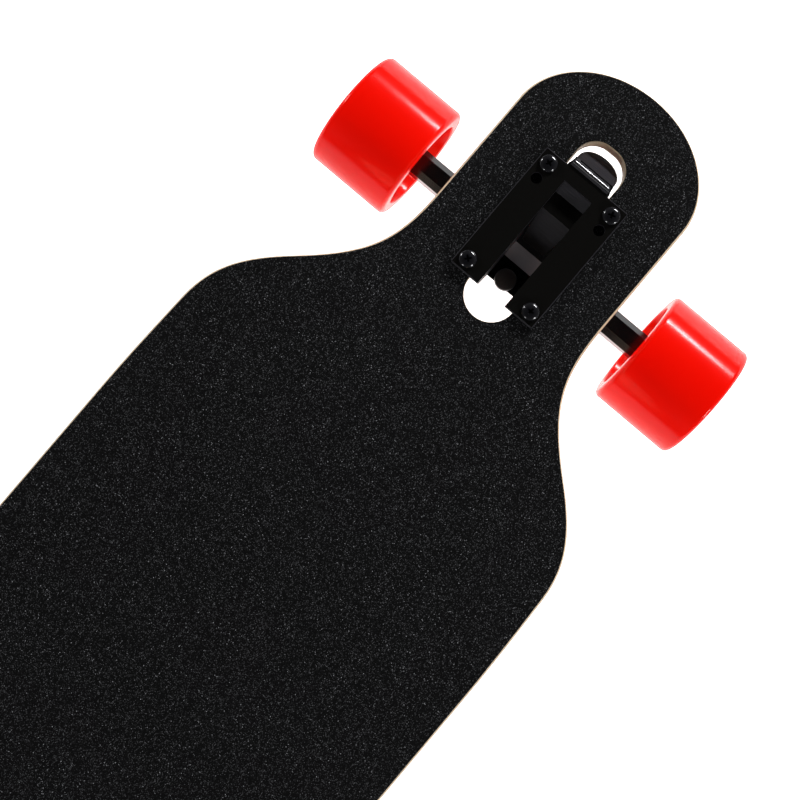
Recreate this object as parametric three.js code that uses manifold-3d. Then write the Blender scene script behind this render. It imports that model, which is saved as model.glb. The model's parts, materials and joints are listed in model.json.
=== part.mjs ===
// Electric skateboard: a drop-through longboard deck on two reverse-kingpin trucks, with free front
// wheels, two rear hub motors, and a battery case under the deck.
// Millimetres. +X runs towards the nose, +Y to the left, +Z up. The origin is on the ground, under the
// middle of the deck. Each truck is built in its own frame: x towards its end of the board, z = 0 on the
// top of the deck.

import * as THREE from 'three';
import { mergeVertices } from 'three/addons/utils/BufferGeometryUtils.js';
import Module from 'manifold-3d';

const wasm = await Module();
wasm.setup();

// ---- Driving dimensions ----

const GAP = 0.3; // between pieces that touch or run on each other
const WHEELBASE = 780; // from truck centre to truck centre
const DECK_TOP = 102.4; // height of the standing surface above the ground
const GRIP_THICKNESS = 0.9;
const DECK_THICKNESS = 10.5;
const BODY_HALF_WIDTH = 121;
const NECK_HALF_WIDTH = 54.3; // where the deck narrows between the wheels
const NOSE_OVERHANG = 93.2; // from truck centre to the tip of the deck

const NOSE_START = 50; // where the elliptical nose begins, from truck centre
const SLOT = { halfWidth: 14.1, noseEnd: 59.4, tailEnd: -51.4, noseCorner: 12 }; // the truck's opening

const PLATE = { length: 76, width: 53.5, thickness: 2.5, corner: 1, slotHalfWidth: 9, slotEnd: 30.5 };
const BOLT_X = 31.75; // half of the 63.5 mm bolt spacing
const BOLT_Y = 20.65; // half of the 41.3 mm bolt spacing
const SPARE_BOLT_X = 22.2; // third pair of holes, for the shorter 54 mm bolt spacing
const BOLT_HOLE = 2.9;
const SCREW = { headRadius: 4.65, headHeight: 2.4, shankRadius: 2.4 };
const NUT_PLATE = { thickness: 3, tailEnd: -61, slotTailEnd: -52.5, slotHalfWidth: 14.6 };

const STEER_TILT = THREE.MathUtils.degToRad(42); // steering axis above the horizontal
const AXLE_X = 1.2; // axle towards the end of the board from the truck centre
const AXLE_Z = -67.4; // axle below the top of the deck
const RAKE = 6; // axle beyond the steering axis, away from the deck
const RING_REACH = 54; // along the steering axis, from the axle to the hanger's kingpin ring
const PIVOT_REACH = 17; // along the steering axis, from the axle to the pivot tip
const RING = { radius: 13, halfThickness: 4.5, bore: 7 };
const BUSHING = { length: 12.8, radius: 11.5, waist: 10.8 };
const WASHER_THICKNESS = 1.6;
const KINGPIN = { radius: 4.75, buried: 6, end: 31 };
const KINGPIN_NUT_THICKNESS = 9;
const PIVOT = { radius: 5.5, linerRadius: 7.6, bossRadius: 9.8 };
const LIP = { start: 34, end: 43.8, halfWidth: 13.2, endHalfWidth: 12.2, low: -1.2, high: 2.8 };
const TONGUE = { halfWidth: 12, length: 18, thickness: 3, bevel: 1.2 }; // slopes from the lip over the kingpin stack
const TOWER = { top: -30, edge: -27, boltX: -23.2, boltRadius: 3 }; // holds the pivot, inboard of the axle
const PIVOT_BOLT_HEAD = { radius: 5.8, height: 4 };

const CROSSBAR = { halfWide: 7.5, halfTall: 8.5, chamfer: 3.5 };
const BARREL = { radius: 9.5, halfLength: 26 }; // round middle of the hanger
const AXLE_RADIUS = 4;
const HANGER_HALF_LENGTH = 90;
const FRONT_AXLE_HALF_LENGTH = 122;
const REAR_AXLE_HALF_LENGTH = 127;

const WHEEL = { radius: 35, halfWidth: 25.5, track: 102.65, lipRadius: 25.5, coreRadius: 20 };
const CORE_HALF_WIDTH = 13.7;
const BEARING = { radius: 11, halfWidth: 3.5, offset: 8.5 };
const MOTOR = { radius: 27.7, wall: 2.7, inner: -22, outer: 16, cap: 3 };

const CASE = { length: 440, width: 176, depth: 34, wall: 2.6, corner: 26, rim: 9, rimThickness: 3 };
const GASKET_THICKNESS = 1.5;
const PORT_DROP = 16; // button and charge port below the underside of the deck
const CELL = { radius: 9.4, perRow: 10, start: -40, stackHalfWidth: 67 };
const HEAT_SINK = { start: -190, fins: 11, pitch: 10, finWidth: 5, finDepth: 5, height: 18, halfWidth: 40 };
const LEAD = { radius: 3, plugLength: 16, plugHalfWidth: 14, plugHalfHeight: 7, drop: 17, reach: 74 };
const BUTTON = { x: -150, radius: 6, out: 3 };
const CHARGE = { x: 150, radius: 8, capRadius: 10.5, capThickness: 3 };

const TRUCK_X = WHEELBASE / 2;
const HALF_LENGTH = TRUCK_X + NOSE_OVERHANG;
const WOOD_TOP = DECK_TOP - GRIP_THICKNESS;
const DECK_UNDERSIDE = WOOD_TOP - DECK_THICKNESS;
const CASE_TOP = DECK_UNDERSIDE - GASKET_THICKNESS - 2 * GAP;
const CASE_FLOOR = CASE_TOP - CASE.depth + CASE.wall; // inside the case
const SEAT = RING.halfThickness + BUSHING.length + WASHER_THICKNESS + 3 * GAP; // kingpin seat from ring

// ---- Materials ----

function finish(color, roughness, metalness = 0) {
  return new THREE.MeshStandardMaterial({ color, roughness, metalness });
}

const MAPLE = finish(0xd2b48c, 0.6);
const GRIT = finish(0x111111, 0.95);
const BLACK_METAL = finish(0x17181a, 0.35, 0.6);
const BLACK_STEEL = finish(0x0d0d0e, 0.25, 0.8);
const STEEL = finish(0xb8bcc0, 0.3, 1);
const RED_URETHANE = finish(0xd8101c, 0.18);
const BLACK_URETHANE = finish(0x1c1c1e, 0.4);
const BLACK_PLASTIC = finish(0x161616, 0.5);
const RUBBER = finish(0x101010, 0.85);
const ALUMINIUM = finish(0x8d9094, 0.35, 0.9);
const BLUE_WRAP = finish(0x24508c, 0.4);
const COPPER = finish(0xa3622e, 0.4, 0.8);

// ---- Solid modelling helpers ----

// A closed geometry as a solid that can be cut and joined.
function toSolid(geometry) {
  const bare = geometry.clone();
  bare.deleteAttribute('normal');
  bare.deleteAttribute('uv');
  const merged = mergeVertices(bare, 1e-4);
  return new wasm.Manifold(new wasm.Mesh({
    numProp: 3,
    vertProperties: merged.attributes.position.array,
    triVerts: Uint32Array.from(merged.index.array),
  }));
}

function toGeometry(solid) {
  const { vertProperties, triVerts } = solid.getMesh();
  const geometry = new THREE.BufferGeometry();
  geometry.setAttribute('position', new THREE.BufferAttribute(vertProperties, 3));
  geometry.setIndex(new THREE.BufferAttribute(triVerts, 1));
  return geometry;
}

// The first geometry joined with `joined` and then cut by `cuts`.
function combine(first, joined, cuts = []) {
  let solid = toSolid(first);
  for (const geometry of joined) {
    solid = solid.add(toSolid(geometry));
  }
  for (const geometry of cuts) {
    solid = solid.subtract(toSolid(geometry));
  }
  return toGeometry(solid);
}

function vector(x, y, z) {
  return new THREE.Vector3(x, y, z);
}

// A box between two opposite corners.
function box(low, high) {
  const size = high.clone().sub(low);
  const middle = low.clone().add(high).multiplyScalar(0.5);
  return new THREE.BoxGeometry(size.x, size.y, size.z).translate(middle.x, middle.y, middle.z);
}

// A straight round bar between two points.
function bar(radius, start, end, sides = 12) {
  const span = end.clone().sub(start);
  const middle = start.clone().add(end).multiplyScalar(0.5);
  const turn = new THREE.Quaternion().setFromUnitVectors(vector(0, 1, 0), span.clone().normalize());
  return new THREE.CylinderGeometry(radius, radius, span.length(), sides)
    .applyQuaternion(turn)
    .translate(middle.x, middle.y, middle.z);
}

// A turned piece about the Y axis, from [radius, height] corners that run round a closed section.
function turned(corners, sides = 24) {
  const points = corners.map(([radius, height]) => new THREE.Vector2(radius, height));
  const onAxis = corners[0][0] === 0;
  return new THREE.LatheGeometry(onAxis ? points : [...points, points[0].clone()], sides);
}

// A plain ring about the Y axis.
function ring(inner, outer, low, high, sides = 16) {
  return turned([[inner, low], [outer, low], [outer, high], [inner, high]], sides);
}

// A turned piece laid along +X instead of +Y.
function alongX(geometry) {
  return geometry.rotateZ(-Math.PI / 2);
}

// A turned piece stood along +Z instead of +Y.
function alongZ(geometry) {
  return geometry.rotateX(Math.PI / 2);
}

// A side profile of [x, z] corners, extruded from y = low to y = high.
function sideProfile(corners, low, high) {
  const shape = new THREE.Shape(corners.map(([x, z]) => new THREE.Vector2(x, z)));
  return new THREE.ExtrudeGeometry(shape, { depth: high - low, bevelEnabled: false })
    .rotateX(Math.PI / 2)
    .translate(0, high, 0);
}

// A rectangle with round corners, centred on x = middle.
function roundedRectangle(length, width, corner, middle = 0) {
  const right = middle + length / 2 - corner;
  const left = middle - length / 2 + corner;
  const side = width / 2 - corner;
  const shape = new THREE.Shape();
  shape.absarc(right, side, corner, 0, Math.PI / 2);
  shape.absarc(left, side, corner, Math.PI / 2, Math.PI);
  shape.absarc(left, -side, corner, Math.PI, 1.5 * Math.PI);
  shape.absarc(right, -side, corner, 1.5 * Math.PI, 2 * Math.PI);
  return shape;
}

// A flat shape raised from z = low to z = high, with its edges broken by `bevel`.
function slab(shape, low, high, bevel = 0) {
  return new THREE.ExtrudeGeometry(shape, {
    depth: high - low - 2 * bevel,
    bevelEnabled: bevel > 0,
    bevelThickness: bevel,
    bevelSize: bevel,
    bevelOffset: -bevel,
    bevelSegments: 1,
    curveSegments: 3,
  }).translate(0, 0, low + bevel);
}

// A nut about the Z axis, from the radius of its corners and of its bore.
function hexNut(cornerRadius, bore, low, high) {
  const corners = [0, 1, 2, 3, 4, 5].map((index) => {
    const angle = (index * Math.PI) / 3;
    return new THREE.Vector2(cornerRadius * Math.cos(angle), cornerRadius * Math.sin(angle));
  });
  const shape = new THREE.Shape(corners);
  shape.holes.push(new THREE.Path().absarc(0, 0, bore, 0, 2 * Math.PI, true));
  return new THREE.ExtrudeGeometry(shape, { depth: high - low, bevelEnabled: false, curveSegments: 5 })
    .translate(0, 0, low);
}

function part(name, geometry, material) {
  const mesh = new THREE.Mesh(geometry, material);
  mesh.name = name;
  return mesh;
}

// ---- Deck ----

// A quarter of the deck's outline, from the tip of the nose to the middle of the left edge: an
// elliptical nose, a straight neck between the wheels, an S-shaped shoulder and the long body.
// The shoulder's places are measured back from the truck's centre.
function deckQuarter(inset) {
  const noseLength = NOSE_OVERHANG - NOSE_START;
  const neck = NECK_HALF_WIDTH - inset;
  const body = BODY_HALF_WIDTH - inset;
  const path = new THREE.Path();
  path.absellipse(TRUCK_X + NOSE_START, 0, noseLength - inset, neck, 0, Math.PI / 2);
  path.lineTo(TRUCK_X - 12, neck);
  path.bezierCurveTo(TRUCK_X - 46, neck, TRUCK_X - 60, neck + 5.5, TRUCK_X - 86, neck + 34.6);
  path.bezierCurveTo(TRUCK_X - 104, body - 11.6, TRUCK_X - 118, body - 2.3, TRUCK_X - 140, body - 1.6);
  path.lineTo(TRUCK_X - 200, body);
  path.lineTo(0, body);
  return path.getPoints(5);
}

// The closed outline that a quarter makes when it is mirrored end to end and side to side.
function mirroredOutline(quarter) {
  const rearHalf = quarter.slice(0, -1).reverse().map((point) => new THREE.Vector2(-point.x, point.y));
  const left = [...quarter, ...rearHalf];
  const right = left.slice(1, -1).reverse().map((point) => new THREE.Vector2(point.x, -point.y));
  return new THREE.Shape([...left, ...right]);
}

// The opening that a truck drops through: round towards the middle, squarer towards the end.
function truckOpening(direction, margin) {
  const side = SLOT.halfWidth + margin;
  const corner = SLOT.noseCorner + margin;
  const end = SLOT.noseEnd + margin - corner;
  const tail = SLOT.tailEnd + SLOT.halfWidth;
  const path = new THREE.Path();
  path.absarc(end, side - corner, corner, 0, Math.PI / 2);
  path.absarc(tail, 0, side, Math.PI / 2, 1.5 * Math.PI);
  path.absarc(end, corner - side, corner, 1.5 * Math.PI, 2 * Math.PI);
  const points = path.getPoints(3);
  return new THREE.Path(points.map((point) => new THREE.Vector2(
    direction * (TRUCK_X + point.x),
    direction * point.y,
  )));
}

function boltPlaces() {
  return [1, -1].flatMap((x) => [1, -1].map((y) => [x * BOLT_X, y * BOLT_Y]));
}

// A sheet with the deck's outline, its two truck openings and its eight bolt holes.
function deckSheet(low, high, inset, openingMargin, bevel) {
  const outline = mirroredOutline(deckQuarter(inset));
  outline.holes.push(truckOpening(1, openingMargin), truckOpening(-1, openingMargin));
  const drills = [1, -1].flatMap((end) => boltPlaces().map(([x, y]) => bar(
    BOLT_HOLE,
    vector(end * TRUCK_X + x, y, low - 1),
    vector(end * TRUCK_X + x, y, high + 1),
    8,
  )));
  return combine(slab(outline, low, high, bevel), [], drills);
}

function deck() {
  const board = new THREE.Group();
  board.add(part('deck', deckSheet(DECK_UNDERSIDE, WOOD_TOP - 0.1, 0, 0, 2.5), MAPLE));
  board.add(part('grip_tape', deckSheet(WOOD_TOP, DECK_TOP, 1.6, 0.3, 0), GRIT));
  return board;
}

// ---- Trucks ----

// The steering frame has its origin at the middle of the hanger's kingpin ring. Its x axis runs down the
// kingpin and its z axis is the steering axis, pointing up towards the end of the board.
function steeringMatrix() {
  const tilt = Math.PI / 2 - STEER_TILT;
  const turn = new THREE.Matrix4().makeRotationY(tilt);
  const fromAxle = vector(-RAKE, 0, RING_REACH).applyMatrix4(turn);
  return turn.setPosition(AXLE_X + fromAxle.x, 0, AXLE_Z + fromAxle.z);
}

const STEERING = steeringMatrix();

// A geometry made in the steering frame, moved into the truck frame.
function steered(geometry) {
  return geometry.applyMatrix4(STEERING);
}

// The casting that passes through the deck: a slotted flange on top, two side walls, the block that the
// kingpin screws into, and the tower that holds the pivot.
function baseplate() {
  const plateTop = GAP + PLATE.thickness;
  const wallOuter = SLOT.halfWidth - 0.8;
  const wallInner = PLATE.slotHalfWidth;
  const wallSide = [
    [-36, 1], [37, 1], [37, -12], [20, -24], [0, -28], [-12, -31], [-14, -40], [-16, -62],
    [-23, -72], [-27, -50], [TOWER.edge, TOWER.top], [-36, -14],
  ];
  const blockSide = [
    [PLATE.slotEnd, 1], [24.5, -3], [14, -3], [-1, -27], [1, -28.5], [20, -24], [37, -12], [37, 1],
  ];
  const towerSide = [
    [TOWER.edge, TOWER.top], [-13, TOWER.top], [-14, -40], [-16, -62], [-23, -72], [-27, -50],
  ];
  const beyondSeat = steered(box(vector(-SEAT, -20, -22), vector(60, 20, 60)));
  const casting = combine(
    sideProfile(wallSide, wallInner, wallOuter),
    [
      sideProfile(wallSide, -wallOuter, -wallInner),
      narrowedBelow(sideProfile(blockSide, -wallInner - 1, wallInner + 1)),
      sideProfile(towerSide, -wallInner - 1, wallInner + 1),
      steered(pivotBoss()),
    ],
    [beyondSeat, steered(pivotPocket()), steered(kingpinHole()), pivotBoltHole()],
  );
  const slot = box(vector(-50, -PLATE.slotHalfWidth, -1), vector(PLATE.slotEnd, PLATE.slotHalfWidth, 9));
  const flange = combine(
    slab(roundedRectangle(PLATE.length, PLATE.width, PLATE.corner), GAP, plateTop, 0.5),
    [neckLip(), tongue()],
    [slot, ...flangeHoles()],
  );
  return combine(flange, [casting]);
}

// The kingpin block draws in towards its lower end, clear of the side walls.
function narrowedBelow(geometry) {
  const places = geometry.attributes.position;
  for (let index = 0; index < places.count; index += 1) {
    const share = 1 + 0.01 * places.getZ(index);
    places.setY(index, places.getY(index) * Math.min(share, 1));
  }
  return geometry;
}

// The lip at the end of the flange, over the kingpin's upper bushing. It flares into the flange.
function neckLip() {
  const { start, end, halfWidth, endHalfWidth, low, high } = LIP;
  const flare = PLATE.length / 2 + 1;
  const shape = new THREE.Shape();
  shape.moveTo(start, -halfWidth);
  shape.lineTo(flare, -halfWidth);
  shape.quadraticCurveTo(flare + 2, -endHalfWidth, end, -endHalfWidth);
  shape.lineTo(end, endHalfWidth);
  shape.quadraticCurveTo(flare + 2, endHalfWidth, flare, halfWidth);
  shape.lineTo(start, halfWidth);
  return slab(shape, low, high);
}

// The round-ended tongue that slopes down from the lip at 45 degrees and covers the kingpin stack.
function tongue() {
  const { halfWidth, length, thickness, bevel } = TONGUE;
  const shape = new THREE.Shape();
  shape.moveTo(-2, -halfWidth);
  shape.absarc(length - halfWidth, 0, halfWidth, -0.5 * Math.PI, 0.5 * Math.PI);
  shape.lineTo(-2, halfWidth);
  return slab(shape, -thickness, 0, bevel).rotateY(Math.PI / 4).translate(LIP.end, 0, LIP.high);
}

function flangeHoles() {
  const spare = [[SPARE_BOLT_X, BOLT_Y], [SPARE_BOLT_X, -BOLT_Y]];
  return [...boltPlaces(), ...spare].map(([x, y]) => bar(BOLT_HOLE, vector(x, y, -1), vector(x, y, 9), 8));
}

function pivotTip() {
  return -RING_REACH - PIVOT_REACH;
}

function pivotBoss() {
  const tip = pivotTip();
  return bar(PIVOT.bossRadius, vector(0, 0, tip - 7), vector(0, 0, tip + 4), 18);
}

function pivotPocket() {
  const tip = pivotTip();
  return bar(PIVOT.linerRadius + GAP, vector(0, 0, tip - 3), vector(0, 0, tip + 9));
}

function kingpinHole() {
  return bar(KINGPIN.radius + GAP, vector(-SEAT - KINGPIN.buried - GAP, 0, 0), vector(1, 0, 0));
}

function pivotBoltHole() {
  const { top, boltX, boltRadius } = TOWER;
  return bar(boltRadius + GAP, vector(boltX, 0, top - 20), vector(boltX, 0, top + 10), 10);
}

function pivotBolt() {
  const { boltX, boltRadius } = TOWER;
  const { radius, height } = PIVOT_BOLT_HEAD;
  const seat = TOWER.top + GAP;
  const top = seat + height;
  return alongZ(turned([[0, seat - 18], [boltRadius, seat - 18], [boltRadius, seat], [radius, seat],
    [radius, top - 0.6], [radius - 0.6, top], [0, top]], 16)).translate(boltX, 0, 0);
}

// The strip under the deck that the four screws thread into.
function nutPlate() {
  const high = -GRIP_THICKNESS - DECK_THICKNESS - GAP;
  const low = high - NUT_PLATE.thickness;
  const nose = PLATE.length / 2;
  const { tailEnd, slotTailEnd, slotHalfWidth } = NUT_PLATE;
  const outline = roundedRectangle(nose - tailEnd, PLATE.width, 4, (nose + tailEnd) / 2);
  const slot = box(vector(slotTailEnd, -slotHalfWidth, low - 1), vector(nose + 1, slotHalfWidth, high + 1));
  const drills = boltPlaces().map(([x, y]) => bar(
    SCREW.shankRadius + GAP,
    vector(x, y, low - 1),
    vector(x, y, high + 1),
    8,
  ));
  return combine(slab(outline, low, high), [], [slot, ...drills]);
}

// A pan-head screw, from its head on the flange to the tip below the nut plate.
function screw() {
  const seat = 2 * GAP + PLATE.thickness;
  const top = seat + SCREW.headHeight;
  const tip = -GRIP_THICKNESS - DECK_THICKNESS - NUT_PLATE.thickness - 3;
  return alongZ(turned([[0, tip], [SCREW.shankRadius, tip], [SCREW.shankRadius, seat],
    [SCREW.headRadius, seat], [SCREW.headRadius - 0.4, seat + 1.2], [3, top], [0, top]], 12));
}

// A bushing is a squat barrel with a slight waist, bored for the kingpin.
function bushing(from) {
  const to = from + BUSHING.length;
  const middle = (from + to) / 2;
  const bore = KINGPIN.radius + GAP;
  return alongX(turned([[bore, from], [BUSHING.radius, from], [BUSHING.waist, middle], [BUSHING.radius, to],
    [bore, to]], 16));
}

function kingpinWasher(from) {
  return alongX(ring(KINGPIN.radius + GAP, BUSHING.radius, from, from + WASHER_THICKNESS));
}

function kingpin() {
  return bar(KINGPIN.radius, vector(-SEAT - KINGPIN.buried, 0, 0), vector(KINGPIN.end, 0, 0));
}

function kingpinNut() {
  const from = SEAT;
  return hexNut(8.1, KINGPIN.radius + GAP, from, from + KINGPIN_NUT_THICKNESS).rotateY(Math.PI / 2);
}

// The urethane cup between the baseplate's boss and the hanger's pivot.
function pivotCup() {
  const tip = pivotTip();
  const inner = PIVOT.radius + GAP;
  return alongZ(turned([[0, tip - 2.7], [PIVOT.linerRadius, tip - 2.7], [PIVOT.linerRadius, tip + 4.5],
    [inner, tip + 4.5], [inner, tip - GAP], [0, tip - GAP]], 16));
}

// The hanger: a chamfered crossbar, a round barrel in its middle, a tapered yoke up to the kingpin ring,
// and the pivot at its lower end.
function hanger() {
  const { halfWide, halfTall, chamfer } = CROSSBAR;
  const section = [
    [halfWide, chamfer - halfTall], [halfWide, halfTall - chamfer], [halfWide - chamfer, halfTall],
    [chamfer - halfWide, halfTall], [-halfWide, halfTall - chamfer], [-halfWide, chamfer - halfTall],
    [chamfer - halfWide, -halfTall], [halfWide - chamfer, -halfTall],
  ].map(([x, z]) => [AXLE_X + x, AXLE_Z + z]);
  const onAxle = (y) => vector(AXLE_X, y, AXLE_Z);
  const onKingpin = (x) => vector(x, 0, 0);
  const pastEnd = HANGER_HALF_LENGTH + 10;
  return combine(
    sideProfile(section, -HANGER_HALF_LENGTH, HANGER_HALF_LENGTH),
    [
      bar(BARREL.radius, onAxle(-BARREL.halfLength), onAxle(BARREL.halfLength), 18),
      steered(yoke()),
      steered(bar(RING.radius, onKingpin(-RING.halfThickness), onKingpin(RING.halfThickness), 24)),
      steered(hangerPivot()),
    ],
    [
      steered(bar(RING.bore, onKingpin(-20), onKingpin(20))),
      bar(AXLE_RADIUS + GAP, onAxle(-pastEnd), onAxle(pastEnd)),
    ],
  );
}

// The flat web between the crossbar and the kingpin ring, wide at the bar and narrow at the ring.
function yoke() {
  const ringSide = RING.radius - 1.5;
  const foot = -RING_REACH + 4;
  const footHalfWidth = 40;
  const pinch = -34;
  const shape = new THREE.Shape();
  shape.moveTo(ringSide, -2);
  shape.quadraticCurveTo(ringSide, pinch, footHalfWidth, foot);
  shape.lineTo(-footHalfWidth, foot);
  shape.quadraticCurveTo(-ringSide, pinch, -ringSide, -2);
  const upright = new THREE.Matrix4().makeBasis(vector(0, 1, 0), vector(0, 0, 1), vector(1, 0, 0));
  const settings = { depth: 2 * RING.halfThickness, bevelEnabled: false, curveSegments: 4 };
  return new THREE.ExtrudeGeometry(shape, settings)
    .applyMatrix4(upright)
    .translate(-RING.halfThickness, 0, 0);
}

// The round-nosed pin that turns in the pivot cup.
function hangerPivot() {
  const tip = pivotTip();
  const root = tip + 20;
  const corners = [[0, tip], [4, tip + 0.4], [PIVOT.radius, tip + 2], [PIVOT.radius, root], [0, root]];
  return alongZ(turned(corners, 12));
}

function axle(halfLength) {
  return bar(AXLE_RADIUS, vector(AXLE_X, -halfLength, AXLE_Z), vector(AXLE_X, halfLength, AXLE_Z));
}

// ---- Wheels, each about its own axle, with +Y pointing outwards ----

// A urethane tyre with rounded shoulders and a dished face on both sides, bored to fit what it sits on.
function tyre(bore, boreHalfWidth) {
  const { radius, halfWidth, lipRadius } = WHEEL;
  const lip = Math.max(lipRadius, bore + 1.5);
  const half = [
    [bore, boreHalfWidth], [lip, boreHalfWidth + 3], [lip + 1, halfWidth], [radius - 4.5, halfWidth],
    [radius - 1.2, halfWidth - 1.9], [radius, halfWidth - 5],
  ];
  const lower = half.map(([r, y]) => [r, -y]);
  return turned([...lower, ...half.reverse()], 32);
}

function wheelCore() {
  const seat = BEARING.radius + GAP;
  const shelf = BEARING.offset - BEARING.halfWidth - GAP;
  return turned([[8, -shelf], [seat, -shelf], [seat, -CORE_HALF_WIDTH], [WHEEL.coreRadius, -CORE_HALF_WIDTH],
    [WHEEL.coreRadius, CORE_HALF_WIDTH], [seat, CORE_HALF_WIDTH], [seat, shelf], [8, shelf]]);
}

function bearing(offset) {
  return ring(AXLE_RADIUS + GAP, BEARING.radius, offset - BEARING.halfWidth, offset + BEARING.halfWidth);
}

function axleNut(from) {
  return hexNut(7.5, AXLE_RADIUS + GAP, from, from + 6.5).rotateX(-Math.PI / 2);
}

// The motor's spinning can: a cup open round the hanger on its inner side, running on the axle outside.
function motorCan() {
  const { radius, wall, inner, outer, cap } = MOTOR;
  const bore = AXLE_RADIUS + GAP;
  return turned([[10, inner], [radius, inner], [radius, outer], [bore, outer], [bore, outer - cap],
    [radius - wall, outer - cap], [radius - wall, inner + cap], [10, inner + cap]], 28);
}

function stator() {
  const bore = AXLE_RADIUS + GAP;
  const start = HANGER_HALF_LENGTH - WHEEL.track + GAP;
  const coil = MOTOR.radius - MOTOR.wall - 0.8;
  const corners = [[bore, start], [9, start], [9, -9], [coil, -9], [coil, 9], [9, 9], [9, 12], [bore, 12]];
  return turned(corners, 20);
}

function frontWheel(name) {
  const wheel = new THREE.Group();
  wheel.add(
    part(`${name}_tyre`, tyre(WHEEL.coreRadius + GAP, 14), RED_URETHANE),
    part(`${name}_core`, wheelCore(), BLACK_PLASTIC),
    part(`${name}_inner_bearing`, bearing(-BEARING.offset), STEEL),
    part(`${name}_outer_bearing`, bearing(BEARING.offset), STEEL),
    part(`${name}_axle_nut`, axleNut(BEARING.offset + BEARING.halfWidth + GAP), STEEL),
  );
  return wheel;
}

function motorWheel(name) {
  const wheel = new THREE.Group();
  wheel.add(
    part(`${name}_tyre`, tyre(MOTOR.radius + GAP, 16), RED_URETHANE),
    part(`${name}_motor_can`, motorCan(), BLACK_METAL),
    part(`${name}_stator`, stator(), COPPER),
    part(`${name}_axle_nut`, axleNut(MOTOR.outer + GAP), STEEL),
  );
  return wheel;
}

// A truck in its own frame, with a wheel at each end of its axle. `leftSide` is +1 when the truck's y
// axis points to the left of the board.
function truck(name, leftSide, makeWheel, axleHalfLength) {
  const assembly = new THREE.Group();
  assembly.add(
    part(`${name}_baseplate`, baseplate(), BLACK_METAL),
    part(`${name}_nut_plate`, nutPlate(), STEEL),
    part(`${name}_pivot_bolt`, pivotBolt(), BLACK_STEEL),
    part(`${name}_hanger`, hanger(), BLACK_METAL),
    part(`${name}_axle`, axle(axleHalfLength), STEEL),
  );
  boltPlaces().forEach(([x, y], index) => {
    const fastener = part(`${name}_truck_screw_${index + 1}`, screw(), BLACK_STEEL);
    fastener.position.set(x, y, 0);
    assembly.add(fastener);
  });
  const steering = new THREE.Group();
  steering.applyMatrix4(STEERING);
  const stack = RING.halfThickness + GAP;
  steering.add(
    part(`${name}_kingpin`, kingpin(), STEEL),
    part(`${name}_kingpin_nut`, kingpinNut(), STEEL),
    part(`${name}_upper_bushing`, bushing(-stack - BUSHING.length), BLACK_URETHANE),
    part(`${name}_lower_bushing`, bushing(stack), BLACK_URETHANE),
    part(`${name}_upper_washer`, kingpinWasher(-SEAT + GAP), BLACK_STEEL),
    part(`${name}_lower_washer`, kingpinWasher(SEAT - GAP - WASHER_THICKNESS), BLACK_STEEL),
    part(`${name}_pivot_cup`, pivotCup(), BLACK_URETHANE),
  );
  assembly.add(steering);
  for (const side of [1, -1]) {
    const wheel = makeWheel(`${name}_${side === leftSide ? 'left' : 'right'}`);
    wheel.position.set(AXLE_X, side * WHEEL.track, AXLE_Z);
    wheel.rotation.z = side > 0 ? 0 : Math.PI;
    assembly.add(wheel);
  }
  return assembly;
}

// ---- Battery case ----

function caseSide() {
  return CASE.width / 2 - CASE.rim;
}

// The moulded tray, with a rim that screws to the deck and openings for the button and charge socket.
function caseShell() {
  const rimOutline = roundedRectangle(CASE.length, CASE.width, CASE.corner);
  const rim = slab(rimOutline, CASE_TOP - CASE.rimThickness, CASE_TOP);
  const above = box(vector(-300, -200, CASE_TOP), vector(300, 200, CASE_TOP + 40));
  const hollow = trayBlock(CASE.wall, CASE_FLOOR);
  const ports = [sidePort(BUTTON.x, BUTTON.radius), sidePort(CHARGE.x, CHARGE.radius)];
  return combine(trayBlock(0, CASE_TOP - CASE.depth), [rim], [above, hollow, ...ports]);
}

// A block in the shape of the tray, drawn in by `inset` and taller than the tray.
function trayBlock(inset, low) {
  const margin = CASE.rim + inset;
  const outline = roundedRectangle(CASE.length - 2 * margin, CASE.width - 2 * margin, CASE.corner - margin);
  return slab(outline, low, CASE_TOP + 12, 6);
}

function sidePort(x, radius) {
  const height = DECK_UNDERSIDE - PORT_DROP;
  return bar(radius + GAP, vector(x, caseSide() - 12, height), vector(x, caseSide() + 5, height));
}

function gasket() {
  const outline = roundedRectangle(CASE.length, CASE.width, CASE.corner);
  const width = CASE.rim - 1;
  outline.holes.push(roundedRectangle(CASE.length - 2 * width, CASE.width - 2 * width, CASE.corner - width));
  return slab(outline, CASE_TOP + GAP, CASE_TOP + GAP + GASKET_THICKNESS);
}

// Twenty cells in two rows of ten, shrink-wrapped, so the sleeve shows a ripple for each cell.
function batteryPack() {
  const { radius, perRow, start, stackHalfWidth } = CELL;
  const dip = 0.2 * Math.PI; // where the wrap bridges from one cell to the next
  const middle = CASE_FLOOR + 1 + radius;
  const outline = new THREE.Shape();
  for (let index = 0; index < perRow; index += 1) {
    outline.absarc(start + 2 * radius * index, middle, radius, Math.PI + dip, 2 * Math.PI - dip);
  }
  for (let index = perRow - 1; index >= 0; index -= 1) {
    outline.absarc(start + 2 * radius * index, middle, radius, dip, Math.PI - dip);
  }
  const corners = outline.getPoints(2).map((point) => [point.x, point.y]);
  return sideProfile(corners, -stackHalfWidth, stackHalfWidth);
}

// A finned heat-sink case that holds the speed controller's board.
function speedController() {
  const { start, fins, pitch, finWidth, finDepth, height, halfWidth } = HEAT_SINK;
  const tips = CASE_FLOOR + 1;
  const roots = tips + finDepth;
  const corners = [[start, tips + height]];
  for (let fin = 0; fin < fins; fin += 1) {
    const x = start + fin * pitch;
    corners.push([x, tips], [x + finWidth, tips], [x + finWidth, roots], [x + pitch, roots]);
  }
  corners.push([start + fins * pitch, tips + height]);
  return sideProfile(corners, -halfWidth, halfWidth);
}

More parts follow.
